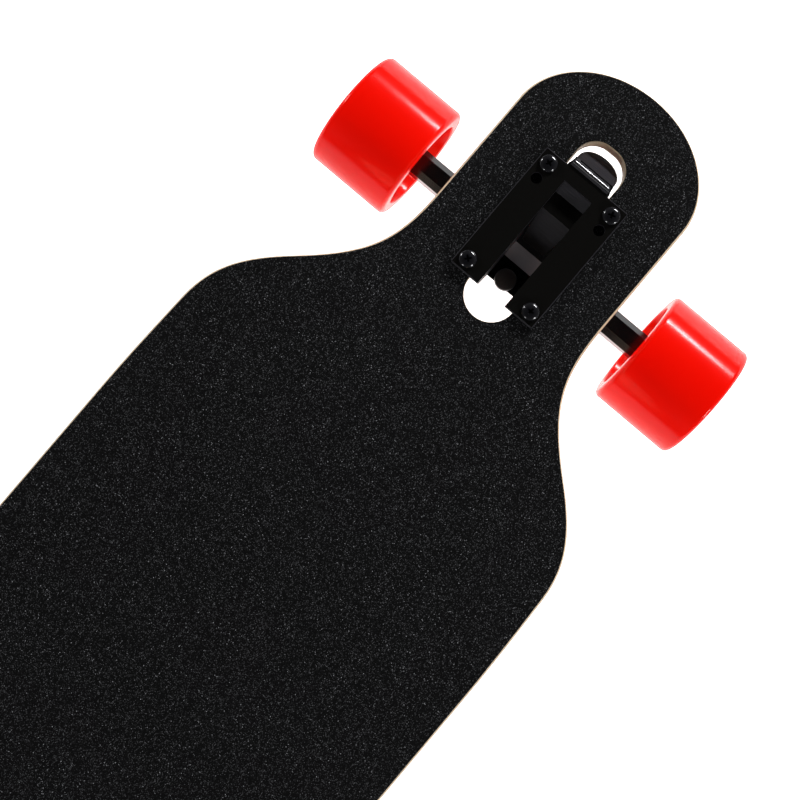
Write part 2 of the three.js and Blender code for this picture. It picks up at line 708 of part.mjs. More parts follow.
// Both side pieces are turned about an axis that points out of the case's left wall.
function sidePiece(name, geometry, material, x) {
  const piece = part(name, geometry, material);
  piece.position.set(x, caseSide(), DECK_UNDERSIDE - PORT_DROP);
  return piece;
}

function powerButton() {
  const { radius, out } = BUTTON;
  return turned([[0, -6], [radius, -6], [radius, out - 0.8], [radius - 0.8, out], [0, out]], 16);
}

// The socket's barrel fills its hole and carries a centre pin in a round well.
function chargeSocket() {
  const { radius } = CHARGE;
  return turned([[0, -16], [radius, -16], [radius, 1], [radius - 2.5, 1], [radius - 2.5, -9], [1.2, -9],
    [1.2, -2], [0, -2]], 16);
}

function chargeCap() {
  const from = 1 + GAP;
  const { capRadius, capThickness } = CHARGE;
  const lid = turned([[0, from], [capRadius, from], [capRadius, from + capThickness - 1],
    [capRadius - 1, from + capThickness], [0, from + capThickness]], 18);
  const tab = box(vector(-4, from, -capRadius - 2.5), vector(4, from + 2, -capRadius + 2));
  return combine(lid, [tab]);
}

// The lead that plugs into the back of the case and forks to the two motors.
function motorLead() {
  const { radius, plugLength, plugHalfWidth, plugHalfHeight, drop, reach } = LEAD;
  const back = -CASE.length / 2 + CASE.rim - GAP;
  const height = DECK_UNDERSIDE - drop;
  const plug = box(
    vector(back - plugLength, -plugHalfWidth, height - plugHalfHeight),
    vector(back, plugHalfWidth, height + plugHalfHeight),
  );
  const arm = -TRUCK_X - AXLE_X + 12;
  const axleHeight = DECK_TOP + AXLE_Z;
  const branch = (side) => {
    const path = new THREE.CatmullRomCurve3([
      vector(back - 12, side * 8, height),
      vector(back - 45, side * 14, height + 4),
      vector(arm + 60, side * 38, height - 8),
      vector(arm + 8, side * 52, axleHeight + 8),
      vector(arm, side * reach, axleHeight),
    ]);
    const round = new THREE.Shape().absarc(0, 0, radius, 0, 2 * Math.PI);
    return new THREE.ExtrudeGeometry(round, { steps: 12, extrudePath: path, curveSegments: 4 });
  };
  return combine(plug, [branch(1), branch(-1)]);
}

function batteryCase() {
  const assembly = new THREE.Group();
  assembly.add(
    part('case_shell', caseShell(), BLACK_PLASTIC),
    part('case_gasket', gasket(), RUBBER),
    part('battery_pack', batteryPack(), BLUE_WRAP),
    part('speed_controller', speedController(), ALUMINIUM),
    part('motor_lead', motorLead(), RUBBER),
    sidePiece('power_button', powerButton(), STEEL, BUTTON.x),
    sidePiece('charge_socket', chargeSocket(), BLACK_PLASTIC, CHARGE.x),
    sidePiece('charge_cap', chargeCap(), RUBBER, CHARGE.x),
  );
  return assembly;
}

// ---- The whole board ----

function skateboard() {
  const board = new THREE.Group();
  const front = truck('front', 1, frontWheel, FRONT_AXLE_HALF_LENGTH);
  front.position.set(TRUCK_X, 0, DECK_TOP);
  const rear = truck('rear', -1, motorWheel, REAR_AXLE_HALF_LENGTH);
  rear.position.set(-TRUCK_X, 0, DECK_TOP);
  rear.rotation.z = Math.PI;
  board.add(deck(), front, rear, batteryCase());
  return board;
}

export default skateboard();
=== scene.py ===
"""Looks of the electric skateboard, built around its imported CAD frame. Metres, +X to the nose, +Z up."""

import json
import math

import bmesh
import bpy
from mathutils import Euler, Matrix, Vector, geometry

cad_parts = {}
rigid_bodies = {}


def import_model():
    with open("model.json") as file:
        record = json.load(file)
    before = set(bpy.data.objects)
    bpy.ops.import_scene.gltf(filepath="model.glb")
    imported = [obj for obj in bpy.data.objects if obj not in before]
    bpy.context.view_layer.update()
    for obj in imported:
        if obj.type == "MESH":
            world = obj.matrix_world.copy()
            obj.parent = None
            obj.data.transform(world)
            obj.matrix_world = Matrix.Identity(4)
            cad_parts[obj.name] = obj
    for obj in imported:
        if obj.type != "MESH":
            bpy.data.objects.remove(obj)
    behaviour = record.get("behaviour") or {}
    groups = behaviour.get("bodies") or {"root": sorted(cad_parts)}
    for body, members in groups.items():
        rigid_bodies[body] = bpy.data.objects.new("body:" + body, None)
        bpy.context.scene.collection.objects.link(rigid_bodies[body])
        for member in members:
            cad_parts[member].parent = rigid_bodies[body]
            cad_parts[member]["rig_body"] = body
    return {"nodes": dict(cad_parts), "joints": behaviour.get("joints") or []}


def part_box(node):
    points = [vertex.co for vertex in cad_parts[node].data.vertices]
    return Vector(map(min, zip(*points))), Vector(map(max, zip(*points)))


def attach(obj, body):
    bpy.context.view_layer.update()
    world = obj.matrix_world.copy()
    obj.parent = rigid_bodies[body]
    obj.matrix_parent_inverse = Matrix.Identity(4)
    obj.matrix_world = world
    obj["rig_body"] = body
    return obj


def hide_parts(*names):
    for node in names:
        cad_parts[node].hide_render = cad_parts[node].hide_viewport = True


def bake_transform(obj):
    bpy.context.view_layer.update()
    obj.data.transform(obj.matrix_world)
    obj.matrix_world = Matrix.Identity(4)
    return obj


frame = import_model()
bpy.context.view_layer.update()

MM = 0.001


# ---- Places and sizes, from the frame ----

def middle(node):
    low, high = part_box(node)
    return (low + high) / 2


def joint(name):
    return next(item for item in frame["joints"] if item["name"] == name)


DECK_LOW, DECK_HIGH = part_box("deck")
DECK_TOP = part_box("grip_tape")[1].z
BODY_HALF = DECK_HIGH.y
TRUCK_X = (middle("front_truck_screw_1").x + middle("front_truck_screw_3").x) / 2
AXLE = middle("front_axle")
AXLE_LOCAL = Vector((AXLE.x - TRUCK_X, 0, AXLE.z - DECK_TOP))
WHEEL_Y = middle("front_left_tyre").y
STEER_AXIS = Vector(joint("front_steer")["axis"])
STEER_TILT = math.asin(STEER_AXIS.z)
BOLT_X = middle("front_truck_screw_1").x - TRUCK_X
BOLT_Y = middle("front_truck_screw_1").y

NECK_HALF = 54.3 * MM  # half-width of the deck between the wheels
RAKE = 6 * MM  # from the axle across to the steering axis
RING_REACH = 54 * MM  # from the axle along the steering axis, up to the kingpin ring
PIVOT_REACH = 17 * MM  # and the other way to the pivot pin's tip
RING_HALF = 4.5 * MM  # half-thickness of the hanger's kingpin ring
AXLE_BORE = 4.3 * MM
SQUARE = ((-1, -1), (1, -1), (1, 1), (-1, 1))
ENDS = {"front": 1, "rear": -1}
ON_AXIS = 1e-7  # a smaller radius counts as a point on the axis


def truck_matrix(end):
    turn = Matrix.Rotation(0 if end == "front" else math.pi, 4, "Z")
    return Matrix.Translation((ENDS[end] * TRUCK_X, 0, DECK_TOP)) @ turn


def steering_matrix(end):
    """Origin at the hanger's kingpin ring, x down the kingpin and z up the steering axis."""
    turn = Matrix.Rotation(math.pi / 2 - STEER_TILT, 4, "Y")
    from_axle = turn @ Vector((-RAKE, 0, RING_REACH))
    return truck_matrix(end) @ Matrix.Translation(AXLE_LOCAL + from_axle) @ turn


def wheel_matrix(end, side):
    """Origin at the middle of the wheel, z out of the wheel along the axle."""
    out = 1 if side == "left" else -1
    centre = Vector((ENDS[end] * AXLE.x, out * WHEEL_Y, AXLE.z))
    return Matrix.Translation(centre) @ Matrix.Rotation(-out * math.pi / 2, 4, "X")


# ---- Mesh helpers ----

def finish_mesh(mesh, sharp_degrees=32):
    """Faces out, smooth shading, and sharp edges where the surface turns a corner."""
    bm = bmesh.new()
    bm.from_mesh(mesh)
    bmesh.ops.remove_doubles(bm, verts=bm.verts, dist=1e-7)
    bmesh.ops.recalc_face_normals(bm, faces=bm.faces)
    limit = math.radians(sharp_degrees)
    for face in bm.faces:
        face.smooth = True
    for edge in bm.edges:
        edge.smooth = len(edge.link_faces) == 2 and edge.calc_face_angle(0) < limit
    bm.to_mesh(mesh)
    bm.free()


def linked_object(name, data):
    obj = bpy.data.objects.new(name, data)
    bpy.context.scene.collection.objects.link(obj)
    return obj


def add_object(name, mesh, material, body, nodes):
    """A finished piece. It rides on a body and stands for CAD nodes, where it has them."""
    obj = linked_object(name, mesh)
    mesh.materials.clear()
    mesh.materials.append(material)
    if body:
        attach(obj, body)
    if nodes:
        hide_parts(*nodes)
    return obj


def rounded(points, radius, steps=4, closed=True):
    """The polygon with each corner turned into an arc. A point may carry its own radius as a third value."""
    result = []
    count = len(points)
    almost_straight = math.pi - 0.05
    longest_cut = 0.48  # share of a side that one corner's arc may take
    for index, point in enumerate(points):
        corner = Vector(point[:2])
        reach = point[2] if len(point) > 2 else radius
        if reach <= 0 or (not closed and index in (0, count - 1)):
            result.append(corner)
            continue
        before = Vector(points[index - 1][:2]) - corner
        after = Vector(points[(index + 1) % count][:2]) - corner
        angle = before.angle(after)
        if angle > almost_straight:
            result.append(corner)
            continue
        cut = min(reach / math.tan(angle / 2), before.length * longest_cut, after.length * longest_cut)
        arc = cut * math.tan(angle / 2)
        inward = (before.normalized() + after.normalized()).normalized()
        centre = corner + inward * (arc / math.sin(angle / 2))
        first = corner + before.normalized() * cut - centre
        last = corner + after.normalized() * cut - centre
        sweep = first.angle_signed(last)
        for step in range(steps + 1):
            turn = Matrix.Rotation(-sweep * step / steps, 2)
            result.append(centre + turn @ first)
    return result


def lathe_mesh(name, profile, segments):
    """A turned mesh about Z from a closed [radius, height] section; radius 0 closes it on the axis."""
    bm = bmesh.new()
    rings = []
    for radius, height in profile:
        if radius < ON_AXIS:
            rings.append([bm.verts.new((0, 0, height))] * segments)
            continue
        rings.append([
            bm.verts.new((
                radius * math.cos(2 * math.pi * step / segments),
                radius * math.sin(2 * math.pi * step / segments),
                height,
            ))
            for step in range(segments)
        ])
    pairs = list(zip(rings, rings[1:]))
    if profile[0][0] >= ON_AXIS:
        pairs.append((rings[-1], rings[0]))
    for low, high in pairs:
        for step in range(segments):
            after = (step + 1) % segments
            corners = [low[step], low[after], high[after], high[step]]
            unique = list(dict.fromkeys(corners))
            if len(unique) > 2:
                bm.faces.new(unique)
    mesh = bpy.data.meshes.new(name)
    bm.to_mesh(mesh)
    bm.free()
    return mesh


def lathe(name, profile, matrix, material, body, nodes, radius, segments):
    """A turned piece with its section's corners rounded to `radius`."""
    section = rounded(profile, radius, closed=profile[0][0] >= ON_AXIS)
    mesh = lathe_mesh(name, section, segments)
    mesh.transform(matrix)
    finish_mesh(mesh)
    return add_object(name, mesh, material, body, nodes)


def signed_area(loop):
    return sum(a[0] * b[1] - b[0] * a[1] for a, b in zip(loop, loop[1:] + loop[:1])) / 2


def sheet_mesh(name, loops, low, high, bevel=0.0, bevel_steps=3):
    """A flat sheet between two heights: the first loop is its outline and the others are holes."""
    curve = bpy.data.curves.new(name, "CURVE")
    curve.dimensions = "2D"
    curve.fill_mode = "BOTH"
    for index, loop in enumerate(loops):
        wanted = 1 if index == 0 else -1
        if signed_area(loop) * wanted < 0:
            loop = loop[::-1]
        spline = curve.splines.new("POLY")
        spline.points.add(len(loop) - 1)
        for point, place in zip(spline.points, loop):
            point.co = (place[0], place[1], 0, 1)
        spline.use_cyclic_u = True
    curve.extrude = (high - low) / 2 - bevel
    curve.bevel_depth = bevel
    curve.bevel_resolution = bevel_steps
    curve.offset = -bevel
    mesh = curve_mesh(curve)
    mesh.transform(Matrix.Translation((0, 0, (low + high) / 2)))
    mesh.name = name
    return mesh


def evaluated_mesh(obj):
    """A new mesh of the object, with its modifiers or its curve's thickness worked out."""
    bpy.context.view_layer.update()
    return bpy.data.meshes.new_from_object(obj.evaluated_get(bpy.context.evaluated_depsgraph_get()))


def curve_mesh(curve):
    """The curve turned into a mesh. The curve itself is removed."""
    holder = linked_object(curve.name, curve)
    mesh = evaluated_mesh(holder)
    bpy.data.objects.remove(holder)
    bpy.data.curves.remove(curve)
    return mesh


def arc_points(x, y, radius, start, stop, steps):
    """Points along an arc, with both its ends."""
    angles = [start + (stop - start) * step / steps for step in range(steps + 1)]
    return [Vector((x + radius * math.cos(angle), y + radius * math.sin(angle))) for angle in angles]


def circle(x, y, radius, steps=32):
    return arc_points(x, y, radius, 0, 2 * math.pi, steps)[:-1]


def rectangle(low_x, high_x, low_y, high_y):
    """The corners of a rectangle, which is also the section of a plain turned ring."""
    return [(low_x, low_y), (high_x, low_y), (high_x, high_y), (low_x, high_y)]


def bezier(start, pull, push, end, steps):
    return [Vector(p[:2]) for p in geometry.interpolate_bezier(start, pull, push, end, steps)]


def boolean(target, cutter_mesh, operation="DIFFERENCE"):
    """Cuts or joins a mesh object with another mesh and keeps the result."""
    cutter = linked_object("cutter", cutter_mesh)
    change = target.modifiers.new("boolean", "BOOLEAN")
    change.operation = operation
    change.solver = "EXACT"
    change.object = cutter
    bake(target)
    bpy.data.objects.remove(cutter)


def soften(node, width, material, segments=2, angle=30):
    """A CAD node that keeps its shape, with its edges broken and a material of its own."""
    obj = frame["nodes"][node]
    obj.data.materials.clear()
    obj.data.materials.append(material)
    for face in obj.data.polygons:
        face.use_smooth = True
    add_join(obj)
    add_bevel(obj, width, segments, angle)
    weight_normals(obj)


def refined(node, name, material, width, cutters, additions):
    """A piece made from a CAD node's own shape, with extra cuts, broken edges and finer additions."""
    body = frame["nodes"][node]["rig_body"]
    obj = add_object(name, frame["nodes"][node].data.copy(), material, body, [node])
    add_join(obj)
    bake(obj)
    for cutter in cutters:
        boolean(obj, cutter)
    add_join(obj)
    add_bevel(obj, width, segments=3, angle=30)
    bake(obj)
    for addition in additions:
        boolean(obj, addition, "UNION")
    finish_mesh(obj.data, 36)
    weight_normals(obj)


def bake(obj):
    """The object's modifiers become part of its mesh."""
    mesh = evaluated_mesh(obj)
    obj.modifiers.clear()
    old = obj.data
    obj.data = mesh
    bpy.data.meshes.remove(old)


def add_join(obj):
    """Corners that meet become one, and flat faces become whole."""
    weld = obj.modifiers.new("joined_corners", "WELD")
    weld.merge_threshold = 0.002 * MM
    flat = obj.modifiers.new("whole_faces", "DECIMATE")
    flat.decimate_type = "DISSOLVE"
    flat.angle_limit = math.radians(1)


def add_bevel(obj, width, segments, angle):
    bevel = obj.modifiers.new("broken_edges", "BEVEL")
    bevel.width = width
    bevel.segments = segments
    bevel.limit_method = "ANGLE"
    bevel.angle_limit = math.radians(angle)


def weight_normals(obj):
    """Shading follows the large faces, so that bevels look round and flats stay flat."""
    change = obj.modifiers.new("weighted_normals", "WEIGHTED_NORMAL")
    change.keep_sharp = True


# ---- Materials ----

class Shader:
    """A material's node tree, with short calls to add and join its nodes."""

    def __init__(self, name):
        self.material = bpy.data.materials.new(name)
        self.material.use_nodes = True
        self.tree = self.material.node_tree
        self.surface = self.tree.nodes["Principled BSDF"]
        self.place = self.add("ShaderNodeTexCoord").outputs["Object"]

    def add(self, kind, **settings):
        node = self.tree.nodes.new(kind)
        for key, value in settings.items():
            setattr(node, key, value)
        return node

    def join(self, output, target):
        self.tree.links.new(output, target)

    def set(self, **values):
        for key, value in values.items():
            self.surface.inputs[key.replace("_", " ")].default_value = value

    def stretched(self, scale):
        mapping = self.add("ShaderNodeMapping")
        mapping.inputs["Scale"].default_value = scale
        self.join(self.place, mapping.inputs["Vector"])
        return mapping.outputs["Vector"]

    def parts(self, vector):
        """The X, Y and Z of a vector."""
        node = self.add("ShaderNodeSeparateXYZ")
        self.join(vector, node.inputs["Vector"])
        return node.outputs

    def noise(self, scale, detail, roughness=0.55, place=None):
        node = self.add("ShaderNodeTexNoise")
        node.inputs["Scale"].default_value = scale
        node.inputs["Detail"].default_value = detail
        node.inputs["Roughness"].default_value = roughness
        self.join(place or self.place, node.inputs["Vector"])
        return node.outputs["Fac"]

    def ramp(self, value, low, high):
        node = self.add("ShaderNodeMapRange")
        node.inputs["To Min"].default_value = low
        node.inputs["To Max"].default_value = high
        self.join(value, node.inputs["Value"])
        return node.outputs["Result"]

    def step(self, value, low, high):
        node = self.add("ShaderNodeMapRange", interpolation_type="SMOOTHSTEP")
        node.inputs["From Min"].default_value = low
        node.inputs["From Max"].default_value = high
        self.join(value, node.inputs["Value"])
        return node.outputs["Result"]

    def maths(self, operation, first, second):
        node = self.add("ShaderNodeMath", operation=operation)
        for socket, value in zip(node.inputs, (first, second)):
            if isinstance(value, (int, float)):
                socket.default_value = value
            else:
                self.join(value, socket)
        return node.outputs["Value"]

    def mix(self, factor, first, second):
        node = self.add("ShaderNodeMix", data_type="RGBA")
        self.join(factor, node.inputs["Factor"])
        for key, value in (("A", first), ("B", second)):
            socket = next(s for s in node.inputs if s.name == key and s.type == "RGBA")
            if isinstance(value, tuple):
                socket.default_value = (*value, 1)
            else:
                self.join(value, socket)
        return next(s for s in node.outputs if s.type == "RGBA")

    def bump(self, height, distance, strength):
        node = self.add("ShaderNodeBump")
        node.inputs["Strength"].default_value = strength
        node.inputs["Distance"].default_value = distance
        self.join(height, node.inputs["Height"])
        self.join(node.outputs["Normal"], self.surface.inputs["Normal"])

    def colour(self, output):
        self.join(output, self.surface.inputs["Base Color"])

    def rough(self, output):
        self.join(output, self.surface.inputs["Roughness"])


def grip_material():
    """Black silicon-carbide grit: fine dark grains, each with its own grey, and a few painted highlights
    where grain facets would glint.
    """
    s = Shader("grip_grit")
    cells = s.add("ShaderNodeTexVoronoi")
    cells.inputs["Scale"].default_value = 1650
    s.join(s.place, cells.inputs["Vector"])
    split = s.add("ShaderNodeSeparateColor")
    s.join(cells.outputs["Color"], split.inputs["Color"])
    core = s.maths("SUBTRACT", 1.0, s.step(cells.outputs["Distance"], 0.15, 0.6))
    facet = s.maths("POWER", split.outputs["Red"], 2.6)
    lit = s.maths("MULTIPLY", facet, core)
    # Painted highlights: a few grains get a bright grey colour that stands in for glints on their facets.
    painted_sparkle = s.maths("MULTIPLY", s.step(split.outputs["Green"], 0.965, 1.0), core)
    cloud = s.noise(16, 3)
    base = s.mix(cloud, (0.0013, 0.0013, 0.0014), (0.0032, 0.0032, 0.0035))
    grain = s.mix(lit, base, (0.125, 0.126, 0.134))
    s.colour(s.mix(painted_sparkle, grain, (0.40, 0.405, 0.43)))
    s.rough(s.ramp(s.noise(900, 2), 0.7, 0.98))
    s.set(Specular_IOR_Level=0.12)
    s.bump(s.maths("SUBTRACT", 1.0, cells.outputs["Distance"]), 0.0002, 0.6)
    return s.material


def maple_material():
    """Lacquered maple plies: pale layers with narrow dark glue lines on the edge, long grain on the faces.
    """
    s = Shader("maple_plies")
    plies = 7
    ply = (DECK_HIGH.z - DECK_LOW.z) / plies
    layer = s.maths("DIVIDE", s.maths("SUBTRACT", s.parts(s.place)["Z"], DECK_LOW.z), ply)
    share = s.maths("FRACT", layer, 0)
    glue = s.maths("GREATER_THAN", share, 0.84)
    cross = s.maths("MULTIPLY", s.maths("MODULO", s.maths("FLOOR", layer, 0), 2), 0.7)
    fibre = s.noise(1, 6, 0.6, s.stretched((26, 420, 900)))
    figure = s.noise(1, 3, 0.5, s.stretched((3, 38, 10)))
    pale = s.mix(fibre, (0.66, 0.49, 0.31), (0.86, 0.71, 0.50))
    warm = s.mix(figure, pale, (0.74, 0.54, 0.33))
    layered = s.mix(cross, warm, (0.58, 0.40, 0.24))
    normal = s.parts(s.add("ShaderNodeNewGeometry").outputs["Normal"])
    flat = s.maths("GREATER_THAN", s.maths("ABSOLUTE", normal["Z"], 0), 0.9)
    edge = s.mix(glue, layered, (0.34, 0.22, 0.13))
    s.colour(s.mix(flat, edge, warm))
    s.rough(s.ramp(fibre, 0.3, 0.5))
    s.set(Coat_Weight=0.35, Coat_Roughness=0.2)
    s.bump(fibre, 0.00006, 0.5)
    return s.material


def powder_coat(name, shade, low, high):
    """Satin black paint over a casting, with a fine orange-peel skin."""
    s = Shader(name)
    broad = s.noise(55, 4)
    fine = s.noise(900, 3)
    s.colour(s.mix(broad, (shade, shade, shade * 1.1), (shade * 2.1, shade * 2.1, shade * 2.4)))
    s.rough(s.ramp(broad, low, high))
    s.set(Specular_IOR_Level=0.5, Coat_Weight=0.12, Coat_Roughness=0.22)
    s.bump(fine, 0.00003, 0.6)
    return s.material


def casting_material():
    """Gloss black enamel: deep black on flat tops and streaky on slopes, with painted light making the
    slopes lighter and painted glints along the edges.
    """
    s = Shader("casting_enamel")
    facing = s.add("ShaderNodeNewGeometry").outputs
    sloping = s.maths("SUBTRACT", 1.0, s.step(s.parts(facing["Normal"])["Z"], 0.86, 0.95))
    streaks = s.noise(1, 4, 0.6, s.stretched((950, 70, 950)))
    specks = s.noise(700, 3, 0.6)
    # Painted light: sloping faces get a lighter colour than flat tops, broken by streaks of cast texture.
    slope_light_and_streaks = s.maths("MULTIPLY", sloping, s.ramp(streaks, 0.25, 1.0))
    enamel = s.mix(slope_light_and_streaks, (0.0058, 0.0055, 0.0050), (0.030, 0.028, 0.036))
    # Painted highlight: a light metallic colour on bevel facets tilted about 10 to 22 degrees from level,
    # stronger where they face the nose or tail and broken by noise, stands in for glints along the edges.
    facet = s.parts(facing["True Normal"])
    rim = s.maths("SUBTRACT", s.step(facet["Z"], 0.93, 0.95), s.step(facet["Z"], 0.975, 0.985))
    across = s.maths("ABSOLUTE", facet["X"], 0)
    painted_glint = s.maths("MULTIPLY", rim, s.maths("ADD", 0.3, s.maths("MULTIPLY", across, 2.6)))
    painted_edge_glint = s.maths("MULTIPLY", painted_glint, s.ramp(s.noise(90, 3), 0.35, 1.1))
    s.colour(s.mix(painted_edge_glint, enamel, (0.55, 0.55, 0.57)))
    s.join(painted_edge_glint, s.surface.inputs["Metallic"])
    s.rough(s.maths("ADD", s.maths("MULTIPLY", sloping, 0.22), s.ramp(specks, 0.16, 0.26)))
    mirror = s.maths("SUBTRACT", 0.5, s.maths("MULTIPLY", sloping, 0.36))
    s.join(mirror, s.surface.inputs["Specular IOR Level"])
    relief = s.maths("MULTIPLY", s.maths("ADD", streaks, specks), sloping)
    s.bump(relief, 0.00012, 0.8)
    return s.material


def gloss_black():
    """Black oxide on hardened screws: dark, shiny, and lightly marked by the driver."""
    s = Shader("black_oxide")
    marks = s.noise(1, 5, 0.7, s.stretched((700, 3200, 700)))
    s.colour(s.mix(marks, (0.006, 0.006, 0.008), (0.02, 0.02, 0.024)))
    s.rough(s.ramp(marks, 0.10, 0.24))
    s.set(Metallic=0.35, Coat_Weight=0.6, Coat_Roughness=0.08)
    s.bump(marks, 0.00001, 0.3)
    return s.material


def brushed_steel(name="brushed_steel", colour=(0.62, 0.63, 0.65), low=0.2, high=0.38, scale=(500, 40, 500)):
    """Bare metal with a fine grain, drawn out along the axis where the scale is small."""
    s = Shader(name)
    grain = s.noise(1, 5, 0.65, s.stretched(scale))
    dark = tuple(0.72 * value for value in colour)
    s.colour(s.mix(grain, dark, colour))
    s.rough(s.ramp(grain, low, high))
    s.set(Metallic=1.0)
    s.bump(grain, 0.00001, 0.4)
    return s.material


def red_urethane():
    """Cast urethane: saturated red, slightly translucent, with a soft skin and faint swirls, and a faint red
    glow that is painted light.
    """
    s = Shader("red_urethane")
    swirl = s.noise(22, 3, 0.5)
    s.colour(s.mix(swirl, (0.72, 0.003, 0.001), (0.80, 0.006, 0.002)))
    s.rough(s.ramp(s.noise(160, 4), 0.13, 0.20))
    s.set(
        Subsurface_Weight=0.2,
        Subsurface_Radius=(0.004, 0.0005, 0.0004),
        Subsurface_Scale=1.0,
        Specular_IOR_Level=0.22,
        # Painted light: the emission makes the tyres glow faintly red though they are no lamp.
        Emission_Color=(1.0, 0.004, 0.0, 1.0),
        Emission_Strength=0.40,
    )
    s.bump(s.noise(420, 3), 0.00002, 0.35)
    return s.material


def dark_urethane():
    """Cast black urethane of the bushings, slightly cloudy."""
    s = Shader("dark_urethane")
    cloud = s.noise(120, 4)
    s.colour(s.mix(cloud, (0.012, 0.012, 0.014), (0.028, 0.028, 0.032)))
    s.rough(s.ramp(cloud, 0.28, 0.45))
    s.set(Subsurface_Weight=0.05, Coat_Weight=0.1)
    s.bump(s.noise(600, 2), 0.00003, 0.4)
    return s.material


def moulded_plastic(name="moulded_plastic", shade=0.014):
    """Spark-eroded mould texture: small pits and an even satin."""
    s = Shader(name)
    pits = s.noise(1300, 3, 0.7)
    broad = s.noise(14, 3)
    s.colour(s.mix(broad, (shade, shade, shade * 1.05), (shade * 1.5, shade * 1.5, shade * 1.6)))
    s.rough(s.ramp(pits, 0.42, 0.68))
    s.bump(pits, 0.00008, 0.7)
    return s.material


def rubber():
    """Matt black rubber with a light bloom of dust."""
    s = Shader("rubber")
    dust = s.noise(240, 5, 0.7)
    s.colour(s.mix(dust, (0.010, 0.010, 0.010), (0.026, 0.025, 0.024)))
    s.rough(s.ramp(dust, 0.65, 0.9))
    s.set(Specular_IOR_Level=0.3)
    s.bump(dust, 0.00008, 0.5)
    return s.material


def battery_wrap():
    """Heat-shrink sleeve: glossy blue film that ripples over the cells."""
    s = Shader("battery_wrap")
    ripple = s.noise(1, 4, 0.6, s.stretched((160, 30, 160)))
    s.colour(s.mix(ripple, (0.012, 0.06, 0.24), (0.03, 0.11, 0.38)))
    s.rough(s.ramp(ripple, 0.12, 0.3))
    s.set(Coat_Weight=0.5)
    s.bump(ripple, 0.0004, 0.5)
    return s.material


def copper_windings():
    """Enamelled wire wound round the stator's teeth."""
    s = Shader("copper_windings")
    wires = s.add("ShaderNodeTexWave")
    wires.inputs["Scale"].default_value = 420
    wires.inputs["Distortion"].default_value = 1.5
    s.join(s.place, wires.inputs["Vector"])
    s.colour(s.mix(wires.outputs["Fac"], (0.16, 0.05, 0.02), (0.60, 0.24, 0.09)))
    s.rough(s.ramp(wires.outputs["Fac"], 0.25, 0.45))
    s.set(Metallic=0.9)
    s.bump(wires.outputs["Fac"], 0.0002, 0.8)
    return s.material


GRIP = grip_material()
MAPLE = maple_material()
CASTING = casting_material()
CROSSBAR = powder_coat("crossbar_black", 0.0025, 0.12, 0.22)
# Painted light: the barrel is the hanger's own black casting, given a lighter colour for the light that
# reaches it through the baseplate's slot.
BARREL_PAINTED_LIGHT = powder_coat("barrel_painted_light", 0.045, 0.26, 0.36)
# The bolt head's grey is partly its own colour and partly painted light, made lighter to make up for the
# shade of the hanger's arms over it.
BOLT_BLACK = powder_coat("bolt_black", 0.06, 0.34, 0.5)
CAN_BLACK = powder_coat("can_black", 0.008, 0.22, 0.34)
OXIDE = gloss_black()
STEEL = brushed_steel()
TURNED_STEEL = brushed_steel("turned_steel", (0.68, 0.69, 0.71), 0.16, 0.30, (900, 900, 900))
URETHANE = red_urethane()
BUSHING = dark_urethane()
PLASTIC = moulded_plastic()
CORE_PLASTIC = moulded_plastic("core_plastic", 0.010)
RUBBER = rubber()
ALUMINIUM = brushed_steel("cast_aluminium", (0.52, 0.53, 0.55), 0.3, 0.5, (120, 600, 600))
WRAP = battery_wrap()
WINDINGS = copper_windings()


# ---- Deck and grip tape ----

def deck_quarter(inset):
    """A quarter of the outline, from the tip of the nose to the middle of the left edge."""
    nose_start = TRUCK_X + 50 * MM  # where the straight neck turns into the rounded nose
    nose_length = DECK_HIGH.x - nose_start - inset
    neck = NECK_HALF - inset
    body = BODY_HALF - inset
    steps = 28
    nose = [
        Vector((
            nose_start + nose_length * math.cos(math.pi / 2 * step / steps),
            neck * math.sin(math.pi / 2 * step / steps),
        ))
        for step in range(steps + 1)
    ]

    def at(back, side):
        return Vector((TRUCK_X - back * MM, side, 0))

    hip = at(86, neck + 34.6 * MM)
    flank = at(140, body - 1.6 * MM)
    hollow = bezier(at(12, neck), at(46, neck), at(60, neck + 5.5 * MM), hip, 24)
    shoulder = bezier(hip, at(104, body - 11.6 * MM), at(118, body - 2.3 * MM), flank, 24)
    sides = bezier(flank, at(155, body - 1.0 * MM), at(180, body), at(200, body), 12)
    return nose + hollow + shoulder[1:] + sides[1:] + [Vector((0, body))]


def deck_outline(inset):
    quarter = deck_quarter(inset)
    rear = [Vector((-p.x, p.y)) for p in reversed(quarter[:-1])]
    left = quarter + rear
    right = [Vector((p.x, -p.y)) for p in reversed(left[1:-1])]
    return left + right


def truck_opening(end, margin):
    """Round towards the middle of the board, squarer towards its end."""
    side = 14.1 * MM + margin
    corner = 12 * MM + margin
    corner_x = 59.4 * MM + margin - corner
    tail_x = -37.3 * MM
    quarter = math.pi / 2
    points = [
        *arc_points(corner_x, side - corner, corner, 0, quarter, 16),
        *arc_points(tail_x, 0, side, quarter, 3 * quarter, 16),
        *arc_points(corner_x, corner - side, corner, 3 * quarter, 4 * quarter, 16),
    ]
    return [ENDS[end] * (Vector((TRUCK_X, 0)) + point) for point in points]


def bolt_holes(radius):
    return [
        circle(ENDS[end] * (TRUCK_X + x * BOLT_X), y * BOLT_Y, radius)
        for end in ENDS for x in (1, -1) for y in (1, -1)
    ]


